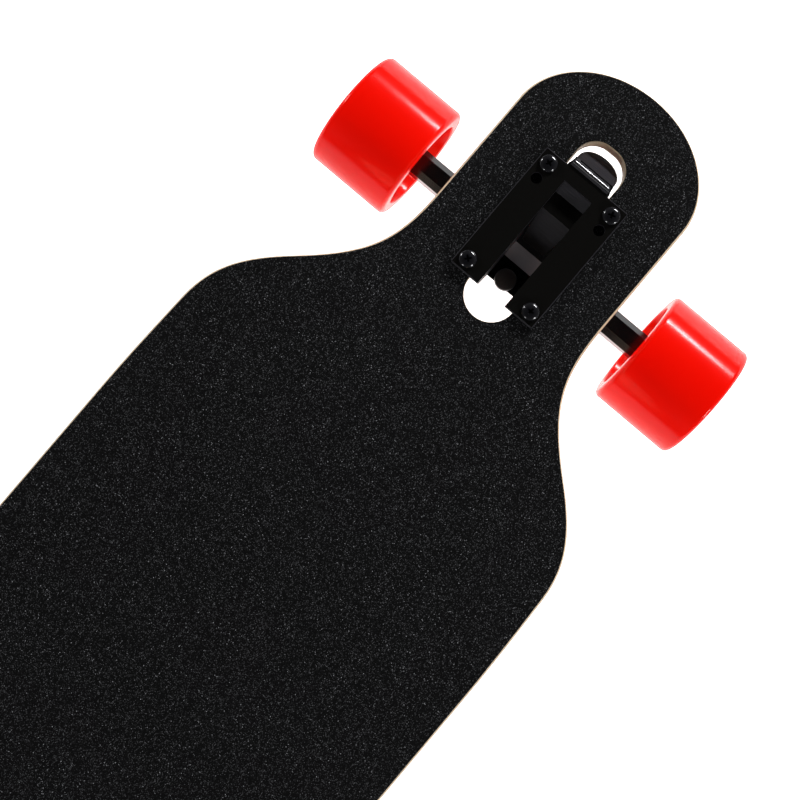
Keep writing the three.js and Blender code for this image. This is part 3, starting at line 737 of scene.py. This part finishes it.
def build_deck():
    """The maple board and the grip tape on it, both cut out for the trucks and their bolts."""
    wood = sheet_mesh("deck_board", [deck_outline(0)], DECK_LOW.z, DECK_HIGH.z, 2.4 * MM, 5)
    board = add_object("deck_board", wood, MAPLE, "board", ["deck"])
    bolt_hole = 2.9 * MM
    for loop in [truck_opening(end, 0) for end in ENDS] + bolt_holes(bolt_hole):
        boolean(board, sheet_mesh("opening", [loop], DECK_LOW.z - MM, DECK_HIGH.z + MM))
    finish_mesh(board.data)
    weight_normals(board)
    holes = [truck_opening(end, 0.3 * MM) for end in ENDS] + bolt_holes(bolt_hole)
    tape = sheet_mesh("grip_sheet", [deck_outline(1.2 * MM)] + holes, DECK_HIGH.z, DECK_TOP, 0.2 * MM, 1)
    finish_mesh(tape)
    weight_normals(add_object("grip_sheet", tape, GRIP, "board", ["grip_tape"]))


build_deck()


# ---- Trucks ----

def screw_head(name, node):
    """A domed head with a cross recess, over a threaded shank."""
    low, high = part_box(node)
    radius = (high.x - low.x) / 2
    centre = (low + high) / 2
    seat = high.z - 2.4 * MM
    edge = seat + 0.35 * MM
    shank, root, pitch = 2.4 * MM, 2.0 * MM, 0.8 * MM
    dome = [(0, low.z), (2.2 * MM, low.z), (shank, low.z + 0.4 * MM)]
    for turn in range(int((seat - low.z - 8 * MM) / pitch)):
        base = low.z + 0.6 * MM + turn * pitch
        dome += [(root, base), (shank, base + pitch / 2)]
    dome += [(shank, seat), (radius - 0.25 * MM, seat), (radius, edge)]
    dome += dome_points(radius, edge, high.z - edge, 12)
    dome.append((0, high.z))
    mesh = lathe_mesh(name, dome, 48)
    mesh.transform(Matrix.Translation((centre.x, centre.y, 0)))
    finish_mesh(mesh, 50)
    head = add_object(name, mesh, OXIDE, "board", [node])
    spin = math.radians(50 + 37 * (hash_of(node) % 5))  # each screw stopped at its own angle
    for quarter in (0, math.pi / 2):
        boolean(head, blade_mesh(centre.x, centre.y, high.z, spin + quarter))
    finish_mesh(head.data, 40)


def dome_points(radius, base, rise, steps):
    """Section of a dome above its base, without the point on the axis."""
    angles = [math.pi / 2 * step / steps for step in range(1, steps)]
    return [(radius * math.cos(angle), base + rise * math.sin(angle)) for angle in angles]


def hash_of(text):
    """A whole number that is always the same for the same text."""
    return sum(ord(letter) for letter in text)


def blade_mesh(x, y, top, angle):
    """One tapered wing pair of a cross-shaped driver, pointing down."""
    bm = bmesh.new()
    depth = 1.7 * MM
    sizes = [
        (top - depth, 1.2 * MM, 0.35 * MM),
        (top + 0.4 * MM, 2.5 * MM, 0.55 * MM),
    ]
    layers = []
    for height, half, thick in sizes:
        layers.append([bm.verts.new((sx * half, sy * thick, height)) for sx, sy in SQUARE])
    bm.faces.new(reversed(layers[0]))
    bm.faces.new(layers[1])
    for index in range(4):
        after = (index + 1) % 4
        bm.faces.new([layers[0][index], layers[0][after], layers[1][after], layers[1][index]])
    mesh = bpy.data.meshes.new("blade")
    bm.to_mesh(mesh)
    bm.free()
    mesh.transform(Matrix.Translation((x, y, 0)) @ Matrix.Rotation(angle, 4, "Z"))
    return mesh


def barrel_profile(low, high, bore, radius, waist):
    """Section of a bushing: full at both ends and slightly drawn in at the middle."""
    inner = radius - 0.8 * MM
    rim = 1.2 * MM
    return [
        (bore, low), (inner, low), (radius, low + rim), (waist, (low + high) / 2),
        (radius, high - rim), (inner, high), (bore, high),
    ]


def nut(name, reach, bore, low, high, matrix, body, node):
    """A lock nut: a chamfered hexagon with a collar. Its corners lie at `reach` from the axis."""
    hexagon = rounded(circle(0, 0, reach, 6), 0.4 * MM, 3)
    mesh = sheet_mesh(name, [hexagon, circle(0, 0, bore)], low, high - 1.2 * MM, 0.35 * MM, 2)
    foot = high - 2.2 * MM
    section = [(bore, foot), (reach * 0.82, foot), (reach * 0.78, high), (bore, high)]
    collar = lathe_mesh(name + "_collar", rounded(section, 0.4 * MM), 48)
    bm = bmesh.new()
    bm.from_mesh(mesh)
    bm.from_mesh(collar)
    bm.to_mesh(mesh)
    bm.free()
    mesh.transform(matrix)
    finish_mesh(mesh)
    add_object(name, mesh, STEEL, body, [node])


def kingpin_stack(end):
    """Bushing, ring, bushing on the kingpin, each bushing backed by a washer."""
    along = steering_matrix(end) @ Matrix.Rotation(math.pi / 2, 4, "Y")
    gap = 0.3 * MM
    length = 12.8 * MM
    bore = 5.05 * MM
    radius = 11.5 * MM
    washer = 1.6 * MM
    seat = RING_HALF + length + washer + 3 * gap
    for name, low in (("upper", -RING_HALF - gap - length), ("lower", RING_HALF + gap)):
        section = barrel_profile(low, low + length, bore, radius, radius - 0.7 * MM)
        bushing = lathe(f"{end}_{name}_barrel", section, along, BUSHING, None, [f"{end}_{name}_bushing"],
                        0.5 * MM, 72)
        ends = [along @ Vector((0, 0, height)) for height in (low, low + length)]
        if name == "lower":
            ends.reverse()
        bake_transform(bushing)
    for name, low in (("upper", -seat + gap), ("lower", seat - gap - washer)):
        lathe(f"{end}_{name}_cup_washer", rectangle(bore, radius, low, low + washer), along, OXIDE, "board",
              [f"{end}_{name}_washer"], 0.4 * MM, 72)
    stud = 4.75 * MM
    top = -seat - 6 * MM
    tip = 31 * MM
    section = [(0, top), (stud, top), (stud, tip - 0.6 * MM), (stud - 0.55 * MM, tip), (0, tip)]
    lathe(f"{end}_kingpin_stud", section, along, STEEL, "board", [f"{end}_kingpin"], 0, 48)
    nut(f"{end}_kingpin_locknut", 8.1 * MM, bore, seat, seat + 9 * MM, along, "board", f"{end}_kingpin_nut")


def pivot_bolt(end):
    """A round-headed bolt whose top carries three short radial marks."""
    node = f"{end}_pivot_bolt"
    centre = middle(node)
    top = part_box(node)[1].z
    under = top - 4 * MM
    foot = under - 5 * MM
    shank, radius = 3 * MM, 5.8 * MM
    section = [(0, foot), (shank, foot), (shank, under), (radius, under), (radius, top), (0, top)]
    mesh = lathe_mesh("head", rounded(section, 0.45 * MM, 3, closed=False), 64)
    place = Matrix.Translation((centre.x, centre.y, 0))
    mesh.transform(place)
    # Its lighter grey is partly painted light.
    bolt = add_object(f"{end}_pivot_cap_bolt", mesh, BOLT_BLACK, "board", [node])
    first_turn = 0.3 if end == "front" else 2.1
    mark = rectangle(2.6 * MM, 4.6 * MM, -0.22 * MM, 0.22 * MM)
    for index in range(3):
        turn = Matrix.Rotation(2 * math.pi * index / 3 + first_turn, 4, "Z")
        tick = sheet_mesh("tick", [mark], top - 0.3 * MM, top + 0.3 * MM)
        tick.transform(place @ turn)
        boolean(bolt, tick)
    finish_mesh(bolt.data)


def hanger(end):
    """A chamfered crossbar with a yoke up to the kingpin ring and the pivot pin, and a barrel of its own,
    painted lighter than the crossbar as painted light.
    """
    body = f"{end}_truck"
    node = f"{end}_hanger"
    along_axle = truck_matrix(end) @ Matrix.Translation(AXLE_LOCAL) @ Matrix.Rotation(math.pi / 2, 4, "X")
    steering = steering_matrix(end)
    down_kingpin = steering @ Matrix.Rotation(math.pi / 2, 4, "Y")
    bar = crossbar_mesh()
    bar.transform(along_axle)
    obj = add_object(node + "_cast", bar, CROSSBAR, body, [node])
    section = rectangle(AXLE_BORE, 12 * MM, -20 * MM, 20 * MM)
    barrel = lathe_mesh("barrel", rounded(section, 1.2 * MM, 4), 96)
    to_kingpin = Matrix.Translation(steering.to_3x3() @ Vector((-2 * MM, 0, 0)))
    barrel.transform(to_kingpin @ along_axle)
    finish_mesh(barrel)
    # The barrel's lighter colour is painted light.
    add_object(node + "_barrel", barrel, BARREL_PAINTED_LIGHT, body, [node])
    facing_kingpin = Matrix(((0, 0, 1, 0), (1, 0, 0, 0), (0, 1, 0, 0), (0, 0, 0, 1)))
    yoke = yoke_mesh()
    yoke.transform(steering @ facing_kingpin)
    ring_bore = 7 * MM
    section = rectangle(ring_bore, 13 * MM, -RING_HALF, RING_HALF)
    ring = lathe_mesh("ring", rounded(section, 1 * MM, 3), 72)
    ring.transform(down_kingpin)
    pin = pivot_pin_mesh()
    pin.transform(steering)
    bore = lathe_mesh("bore", rectangle(0, ring_bore, -20 * MM, 20 * MM), 72)
    bore.transform(down_kingpin)
    for piece in (yoke, ring, pin):
        boolean(obj, piece, "UNION")
    boolean(obj, bore)
    finish_mesh(obj.data, 40)
    weight_normals(obj)


def crossbar_mesh():
    """The bar round the axle, along Z, with the corners of its section cut off."""
    reach = 90 * MM
    wide, tall, chamfer = 7.5 * MM, 8.5 * MM, 3.5 * MM
    section = [
        (wide, chamfer - tall), (wide, tall - chamfer), (wide - chamfer, tall), (chamfer - wide, tall),
        (-wide, tall - chamfer), (-wide, chamfer - tall), (chamfer - wide, -tall), (wide - chamfer, -tall),
    ]
    loops = [rounded(section, 0.7 * MM, 3), circle(0, 0, AXLE_BORE)]
    return sheet_mesh("bar", loops, -reach, reach, 0.6 * MM, 2)


def yoke_mesh():
    """The plate that narrows from the crossbar to the kingpin ring, which is at the origin."""
    ring_side = 11.5 * MM
    foot = PIVOT_REACH - 13 * MM - RING_REACH
    side = bezier(
        (ring_side, -2 * MM, 0),
        (ring_side, -26 * MM, 0),
        (20 * MM, foot + 6 * MM, 0),
        (40 * MM, foot, 0),
        16,
    )
    outline = side + [Vector((-p.x, p.y)) for p in reversed(side)]
    return sheet_mesh("yoke", [outline], -RING_HALF, RING_HALF, 1.2 * MM, 3)


def pivot_pin_mesh():
    """The pin on the steering axis that turns in the pivot cup."""
    tip = -RING_REACH - PIVOT_REACH
    root = tip + 12 * MM
    return lathe_mesh("pin", [
        (0, tip), (3 * MM, tip + 0.4 * MM), (5 * MM, tip + 1.6 * MM), (5.5 * MM, tip + 4 * MM),
        (5.5 * MM, root), (0, root),
    ], 48)


def baseplate(end):
    """The slotted flange, tongue, walls, kingpin block and pivot tower, with round drilled holes."""
    place = truck_matrix(end)
    holes = [(x * BOLT_X, y * BOLT_Y) for x in (1, -1) for y in (1, -1)]
    spare_holes = [(BOLT_X * 0.7, y * BOLT_Y) for y in (1, -1)]
    cutters = []
    for x, y in holes + spare_holes:
        drill = sheet_mesh("drill", [circle(x, y, 2.95 * MM, 40)], -2 * MM, 6 * MM)
        drill.transform(place)
        cutters.append(drill)
    on_edge = Matrix(((1, 0, 0, 0), (0, 0, -1, 0), (0, 1, 0, 0), (0, 0, 0, 1)))
    nose_end = 43.75 * MM
    nose = sheet_mesh("nose", [rectangle(nose_end, 60 * MM, -25 * MM, 3.5 * MM)], -20 * MM, 20 * MM)
    tower_back, tower_top = -27 * MM, -30.9 * MM
    undercut, depth = 7 * MM, 50 * MM
    clear = -40 * MM
    under = sheet_mesh("under", [[
        (clear, tower_top), (tower_back, tower_top),
        (tower_back + undercut, tower_top - depth), (clear, tower_top - depth),
    ]], -30 * MM, 30 * MM)
    for cutter in (nose, under):
        cutter.transform(place @ on_edge)
        cutters.append(cutter)
    node = f"{end}_baseplate"
    refined(node, node + "_cast", CASTING, 0.5 * MM, cutters, [tongue(end)])


def tongue(end):
    """The round tongue that slopes down from the flange's lip, over the kingpin."""
    radius = 12 * MM
    root = -4 * MM
    outline = [
        (root, -radius),
        *arc_points(6 * MM, 0, radius, -math.pi / 2, math.pi / 2, 32),
        (root, radius),
    ]
    mesh = sheet_mesh("tongue", [outline], -4.2 * MM, 0, 1.9 * MM, 4)
    lip = Matrix.Translation((43.6 * MM, 0, 2.2 * MM))
    mesh.transform(truck_matrix(end) @ lip @ Matrix.Rotation(math.pi / 4, 4, "Y"))
    return mesh


def axle_rod(end):
    node = f"{end}_axle"
    low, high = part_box(node)
    radius = 4 * MM
    sideways = Matrix.Translation((middle(node).x, 0, AXLE.z)) @ Matrix.Rotation(math.pi / 2, 4, "X")
    section = [(0, low.y), (radius, low.y, 0.5 * MM), (radius, high.y, 0.5 * MM), (0, high.y)]
    lathe(node + "_rod", section, sideways, TURNED_STEEL, f"{end}_truck", [node], 0, 48)


def build_trucks():
    for end in ENDS:
        baseplate(end)
        hanger(end)
        soften(f"{end}_nut_plate", 0.3 * MM, STEEL)
        soften(f"{end}_pivot_cup", 0.2 * MM, BUSHING)
        for index in range(1, 5):
            screw_head(f"{end}_deck_screw_{index}", f"{end}_truck_screw_{index}")
        kingpin_stack(end)
        pivot_bolt(end)
        axle_rod(end)


build_trucks()


# ---- Wheels ----

def mirrored(upper):
    """A section's upper half, listed from the outside in, joined to its reflection below."""
    lower = [(radius, -height, *rest) for radius, height, *rest in reversed(upper)]
    return lower + upper


def tyre(end, side, bore, bore_half):
    """A cast tyre: flat tread, tight shoulders, and a rim and a conical dish on both faces."""
    node = f"{end}_{side}_tyre"
    low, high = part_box(node)
    radius = (high.z - low.z) / 2
    half = (high.y - low.y) / 2
    lip = max(25.5 * MM, bore + 1.5 * MM)
    section = mirrored([
        (radius, half, 2.9 * MM),
        (lip + 1.2 * MM, half, 1.0 * MM),
        (lip, bore_half + 2.6 * MM, 1.6 * MM),
        (bore, bore_half, 0.4 * MM),
    ])
    mesh = lathe_mesh(node + "_cast", rounded(section, 0, 8), 160)
    mesh.transform(wheel_matrix(end, side))
    finish_mesh(mesh)
    obj = add_object(node + "_cast", mesh, URETHANE, f"{end}_{side}_wheel", [node])
    weight_normals(obj)


def core(side):
    """Moulded core: a rim and a hub joined by a web and ten spokes."""
    node = f"front_{side}_core"
    face, web, seat = 13.6 * MM, 3 * MM, 4.7 * MM
    section = mirrored([
        (20 * MM, face), (17.4 * MM, face), (17.4 * MM, web), (13.2 * MM, web),
        (13.2 * MM, face), (11.3 * MM, face), (11.3 * MM, seat), (8 * MM, seat),
    ])
    obj = linked_object("spoked", lathe_mesh("hub", rounded(section, 0.5 * MM, 2), 96))
    outline = rectangle(12.4 * MM, 18.4 * MM, -0.9 * MM, 0.9 * MM)
    for index in range(10):
        spoke = sheet_mesh("spoke", [outline], -12 * MM, 12 * MM, 0.25 * MM, 1)
        spoke.transform(Matrix.Rotation(2 * math.pi * index / 10, 4, "Z"))
        boolean(obj, spoke, "UNION")
    mesh = obj.data
    bpy.data.objects.remove(obj)
    mesh.transform(wheel_matrix("front", side))
    finish_mesh(mesh)
    add_object(node + "_spoked", mesh, CORE_PLASTIC, f"front_{side}_wheel", [node])


def bearing(side, which, offset):
    """A ball bearing: two steel rings with a dark rubber seal set in between them."""
    node = f"front_{side}_{which}_bearing"
    place = wheel_matrix("front", side) @ Matrix.Translation((0, 0, offset))
    half = 3.5 * MM
    seal = half - 0.5 * MM
    seal_inner, seal_outer = 6.1 * MM, 9.3 * MM
    section = mirrored([
        (11 * MM, half), (9.5 * MM, half), (seal_outer, seal),
        (seal_inner, seal), (5.9 * MM, half), (AXLE_BORE, half),
    ])
    obj = lathe(f"{node}_608", section, place, TURNED_STEEL, f"front_{side}_wheel", [node],
                0.15 * MM, 72)
    obj.data.materials.append(RUBBER)
    local = place.inverted()
    margin = 0.05 * MM
    for face in obj.data.polygons:
        centre = local @ face.center
        if seal_inner - margin < math.hypot(centre.x, centre.y) < seal_outer + margin:
            face.material_index = 1


def axle_nut(end, side, seat):
    nut(f"{end}_{side}_locknut", 7.5 * MM, AXLE_BORE, seat, seat + 6.5 * MM, wheel_matrix(end, side),
        f"{end}_truck", f"{end}_{side}_axle_nut")


def motor_can(side):
    """The can's outer face is turned, with a shallow dish, ten vent slots and a raised hub."""
    node = f"rear_{side}_motor_can"
    hub, inner, outer = 10 * MM, 25 * MM, 27.7 * MM
    back, face, dish, wall = -22 * MM, 16 * MM, 15.2 * MM, 3 * MM
    section = [
        (hub, back), (outer, back), (outer, face), (21 * MM, face), (20 * MM, dish), (hub, dish),
        (9 * MM, face), (AXLE_BORE, face), (AXLE_BORE, face - wall), (inner, face - wall),
        (inner, back + wall), (hub, back + wall),
    ]
    obj = lathe(f"{node}_shell", section, Matrix.Identity(4), CAN_BLACK, f"rear_{side}_wheel", [node],
                0.4 * MM, 128)
    outline = rounded([
        (12 * MM, -1.3 * MM), (18.5 * MM, -1.9 * MM), (18.5 * MM, 1.9 * MM), (12 * MM, 1.3 * MM),
    ], 1.0 * MM, 3)
    for index in range(10):
        vent = sheet_mesh("vent", [outline], 11 * MM, 18 * MM)
        vent.transform(Matrix.Rotation(2 * math.pi * index / 10, 4, "Z"))
        boolean(obj, vent)
    obj.data.transform(wheel_matrix("rear", side))
    finish_mesh(obj.data)


def build_wheels():
    bearing_offset = 8.5 * MM
    for side in ("left", "right"):
        tyre("front", side, 20.3 * MM, 14 * MM)
        core(side)
        bearing(side, "inner", -bearing_offset)
        bearing(side, "outer", bearing_offset)
        axle_nut("front", side, 12.3 * MM)
    for side in ("left", "right"):
        tyre("rear", side, 28 * MM, 16 * MM)
        motor_can(side)
        soften(f"rear_{side}_stator", 0.3 * MM, WINDINGS)
        axle_nut("rear", side, 16.3 * MM)


build_wheels()


# ---- Battery case and its fittings ----

def case_screws():
    """Small domed screws round the case's rim, heads down."""
    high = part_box("case_shell")[1]
    inset = 4.6 * MM
    reach_x, reach_y = high.x - inset, high.y - inset
    places = [(x * reach_x * share, y * reach_y) for share in (0.25, 0.72) for x in (1, -1) for y in (1, -1)]
    places += [(x * reach_x, y * reach_y * 0.4) for x in (1, -1) for y in (1, -1)]
    under = high.z - 3 * MM
    shank, head = 1.6 * MM, 3.4 * MM
    top, seat, rim = under + 2.8 * MM, under - 0.1 * MM, under - 0.5 * MM
    rise = 1.4 * MM
    section = [(0, top), (shank, top), (shank, seat), (head, seat), (head, rim)]
    section += dome_points(head, rim, -rise, 8)
    section.append((0, rim - rise))
    for index, (x, y) in enumerate(places):
        name = f"case_screw_{index + 1}"
        mesh = lathe_mesh(name, section, 40)
        mesh.transform(Matrix.Translation((x, y, 0)))
        screw = add_object(name, mesh, OXIDE, "board", [])
        socket = sheet_mesh("socket", [circle(0, 0, 1.5 * MM, 6)], under - 2.5 * MM, under - 0.9 * MM)
        socket.transform(Matrix.Translation((x, y, 0)))
        boolean(screw, socket)
        finish_mesh(screw.data, 40)


def side_piece(node):
    """Origin on the case's left wall behind a fitting, with z pointing out of the wall."""
    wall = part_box("case_shell")[1].y - 9 * MM
    behind = Matrix.Translation((middle(node).x, wall, middle("charge_socket").z))
    return behind @ Matrix.Rotation(-math.pi / 2, 4, "X")


def build_case():
    soften("case_shell", 1.2 * MM, PLASTIC, 3, 25)
    soften("case_gasket", 0.2 * MM, RUBBER)
    soften("battery_pack", 0.3 * MM, WRAP)
    soften("speed_controller", 0.4 * MM, ALUMINIUM)
    case_screws()
    place = side_piece("power_button")
    lathe("power_button_cap", [
        (0, -6 * MM), (6 * MM, -6 * MM), (6 * MM, 3 * MM),
        (4.6 * MM, 3 * MM), (4.2 * MM, 2.5 * MM), (0, 2.3 * MM),
    ], place, TURNED_STEEL, "power_button", ["power_button"], 0.35 * MM, 64)
    lathe("power_button_bezel", rectangle(6.25 * MM, 8.6 * MM, -0.5 * MM, 1.4 * MM), place, OXIDE, "board",
          [], 0.5 * MM, 64)
    barrel, hollow, pin = 8 * MM, 5.5 * MM, 1.2 * MM
    floor = -9 * MM
    lathe("charge_socket_barrel", [
        (0, -16 * MM), (barrel, -16 * MM), (barrel, 1 * MM), (hollow, 1 * MM), (hollow, floor),
        (pin, floor), (pin, -2 * MM), (0, -2 * MM),
    ], side_piece("charge_socket"), PLASTIC, "board", ["charge_socket"], 0.3 * MM, 64)
    soften("charge_cap", 0.5 * MM, RUBBER, 3)


build_case()


def tube(points, radius):
    """A round tube through the points, with closed ends."""
    curve = bpy.data.curves.new("tube", "CURVE")
    curve.dimensions = "3D"
    curve.bevel_depth = radius
    curve.bevel_resolution = 5
    curve.use_fill_caps = True
    spline = curve.splines.new("BEZIER")
    spline.bezier_points.add(len(points) - 1)
    spline.resolution_u = 14
    for knot, place in zip(spline.bezier_points, points):
        knot.co = place
        knot.handle_left_type = "AUTO"
        knot.handle_right_type = "AUTO"
    return curve_mesh(curve)


def build_motor_lead():
    """Two cables that leave one plug and drop along the hanger's arms to the hub motors."""
    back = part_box("motor_lead")[1].x
    height = DECK_LOW.z - 17 * MM
    arm = -AXLE.x + 12 * MM
    bm = bmesh.new()
    for side in (1, -1):
        branch = tube([
            Vector((back - 12 * MM, side * 8 * MM, height)),
            Vector((back - 45 * MM, side * 14 * MM, height + 4 * MM)),
            Vector((arm + 60 * MM, side * 38 * MM, height - 8 * MM)),
            Vector((arm + 8 * MM, side * 52 * MM, AXLE.z + 8 * MM)),
            Vector((arm, side * 74 * MM, AXLE.z)),
        ], 3 * MM)
        bm.from_mesh(branch)
    outline = rounded(rectangle(back - 16 * MM, back, -14 * MM, 14 * MM), 3 * MM, 5)
    bm.from_mesh(sheet_mesh("plug", [outline], height - 7 * MM, height + 7 * MM, 1.5 * MM, 3))
    mesh = bpy.data.meshes.new("motor_lead_harness")
    bm.to_mesh(mesh)
    bm.free()
    finish_mesh(mesh)
    obj = add_object("motor_lead_harness", mesh, RUBBER, None, ["motor_lead"])
    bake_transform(obj)


build_motor_lead()


# ---- Floor, light and camera ----

CAMERA_TURN = math.radians(-49.75)
IMAGE_RIGHT = Vector((math.cos(CAMERA_TURN), math.sin(CAMERA_TURN), 0))
IMAGE_UP = Vector((-math.sin(CAMERA_TURN), math.cos(CAMERA_TURN), 0))
SOFT_BOX = (0.28, 0.28)
LAMPS = {  # name: (along the image's up, along its right, height), size, power
    "key": ((1, 0.86, 0.53), (0.6, 0.13), 18),
    "left": ((-0.8, -0.7, 0.40), SOFT_BOX, 5),
    "right": ((-0.9, 0.8, 0.45), SOFT_BOX, 9),
    "back": ((0.9, -0.9, 0.45), SOFT_BOX, 7),
}


def build_floor():
    """A pale floor, clear from below, and low enough for a wheel to drop when its truck steers."""
    reach = 8
    level = -28 * MM
    mesh = bpy.data.meshes.new("floor")
    mesh.from_pydata([(x * reach, y * reach, level) for x, y in SQUARE], [], [(0, 1, 2, 3)])
    s = Shader("studio_floor")
    s.colour(s.mix(s.noise(3, 2), (0.90, 0.90, 0.90), (0.93, 0.93, 0.93)))
    s.set(Roughness=0.9, Specular_IOR_Level=0.1, Emission_Color=(1, 1, 1, 1))
    seen = s.add("ShaderNodeLightPath").outputs["Is Camera Ray"]
    s.join(s.ramp(seen, 0.75, 1.0), s.surface.inputs["Emission Strength"])
    clear = s.add("ShaderNodeBsdfTransparent")
    either = s.add("ShaderNodeMixShader")
    s.join(s.add("ShaderNodeNewGeometry").outputs["Backfacing"], either.inputs["Fac"])
    s.join(s.surface.outputs["BSDF"], either.inputs[1])
    s.join(clear.outputs["BSDF"], either.inputs[2])
    s.join(either.outputs["Shader"], s.tree.nodes["Material Output"].inputs["Surface"])
    mesh.materials.append(s.material)
    linked_object("floor", mesh)


def build_lamps():
    """Low soft boxes round the object, facing the front truck."""
    target = Vector((TRUCK_X - 0.12, 0, DECK_TOP))
    distance = 1.6
    for name, ((up, right, height), size, power) in LAMPS.items():
        direction = up * IMAGE_UP + right * IMAGE_RIGHT + Vector((0, 0, height))
        data = bpy.data.lights.new(name, "AREA")
        data.shape = "RECTANGLE"
        data.size, data.size_y = size
        data.energy = power
        lamp = linked_object(name, data)
        lamp.location = target + direction.normalized() * distance
        lamp.rotation_mode = "QUATERNION"
        lamp.rotation_quaternion = direction.to_track_quat("Z", "Y")


def build_world():
    """Bright at the horizon and dark overhead, so flat black parts stay black. The camera sees white."""
    horizon, overhead = 1.8, 0.03
    white = 20
    world = bpy.data.worlds.new("studio")
    bpy.context.scene.world = world
    world.use_nodes = True
    tree = world.node_tree
    place = tree.nodes.new("ShaderNodeTexCoord")
    split = tree.nodes.new("ShaderNodeSeparateXYZ")
    ramp = tree.nodes.new("ShaderNodeMapRange")
    for key, value in (("From Min", 0.55), ("From Max", 0.93), ("To Min", horizon), ("To Max", overhead)):
        ramp.inputs[key].default_value = value
    tree.links.new(place.outputs["Generated"], split.inputs["Vector"])
    tree.links.new(split.outputs["Z"], ramp.inputs["Value"])
    ray = tree.nodes.new("ShaderNodeLightPath")
    seen = tree.nodes.new("ShaderNodeMath")
    seen.operation = "MULTIPLY"
    seen.inputs[1].default_value = white
    total = tree.nodes.new("ShaderNodeMath")
    total.operation = "MAXIMUM"
    tree.links.new(ray.outputs["Is Camera Ray"], seen.inputs[0])
    tree.links.new(ramp.outputs["Result"], total.inputs[0])
    tree.links.new(seen.outputs["Value"], total.inputs[1])
    tree.links.new(total.outputs["Value"], tree.nodes["Background"].inputs["Strength"])


def build_camera():
    """Straight above the front half of the board, turned so that the nose points to the upper right."""
    data = bpy.data.cameras.new("camera")
    data.sensor_width = 36
    data.lens = 63.95
    camera = linked_object("camera", data)
    camera.location = Vector((TRUCK_X - 0.1288, -0.0155, DECK_TOP + 0.7163))
    camera.rotation_euler = Euler((math.radians(2.11), math.radians(-0.08), CAMERA_TURN))
    bpy.context.scene.camera = camera


build_floor()
build_lamps()
build_world()
build_camera()
bpy.context.scene.view_settings.view_transform = "Standard"
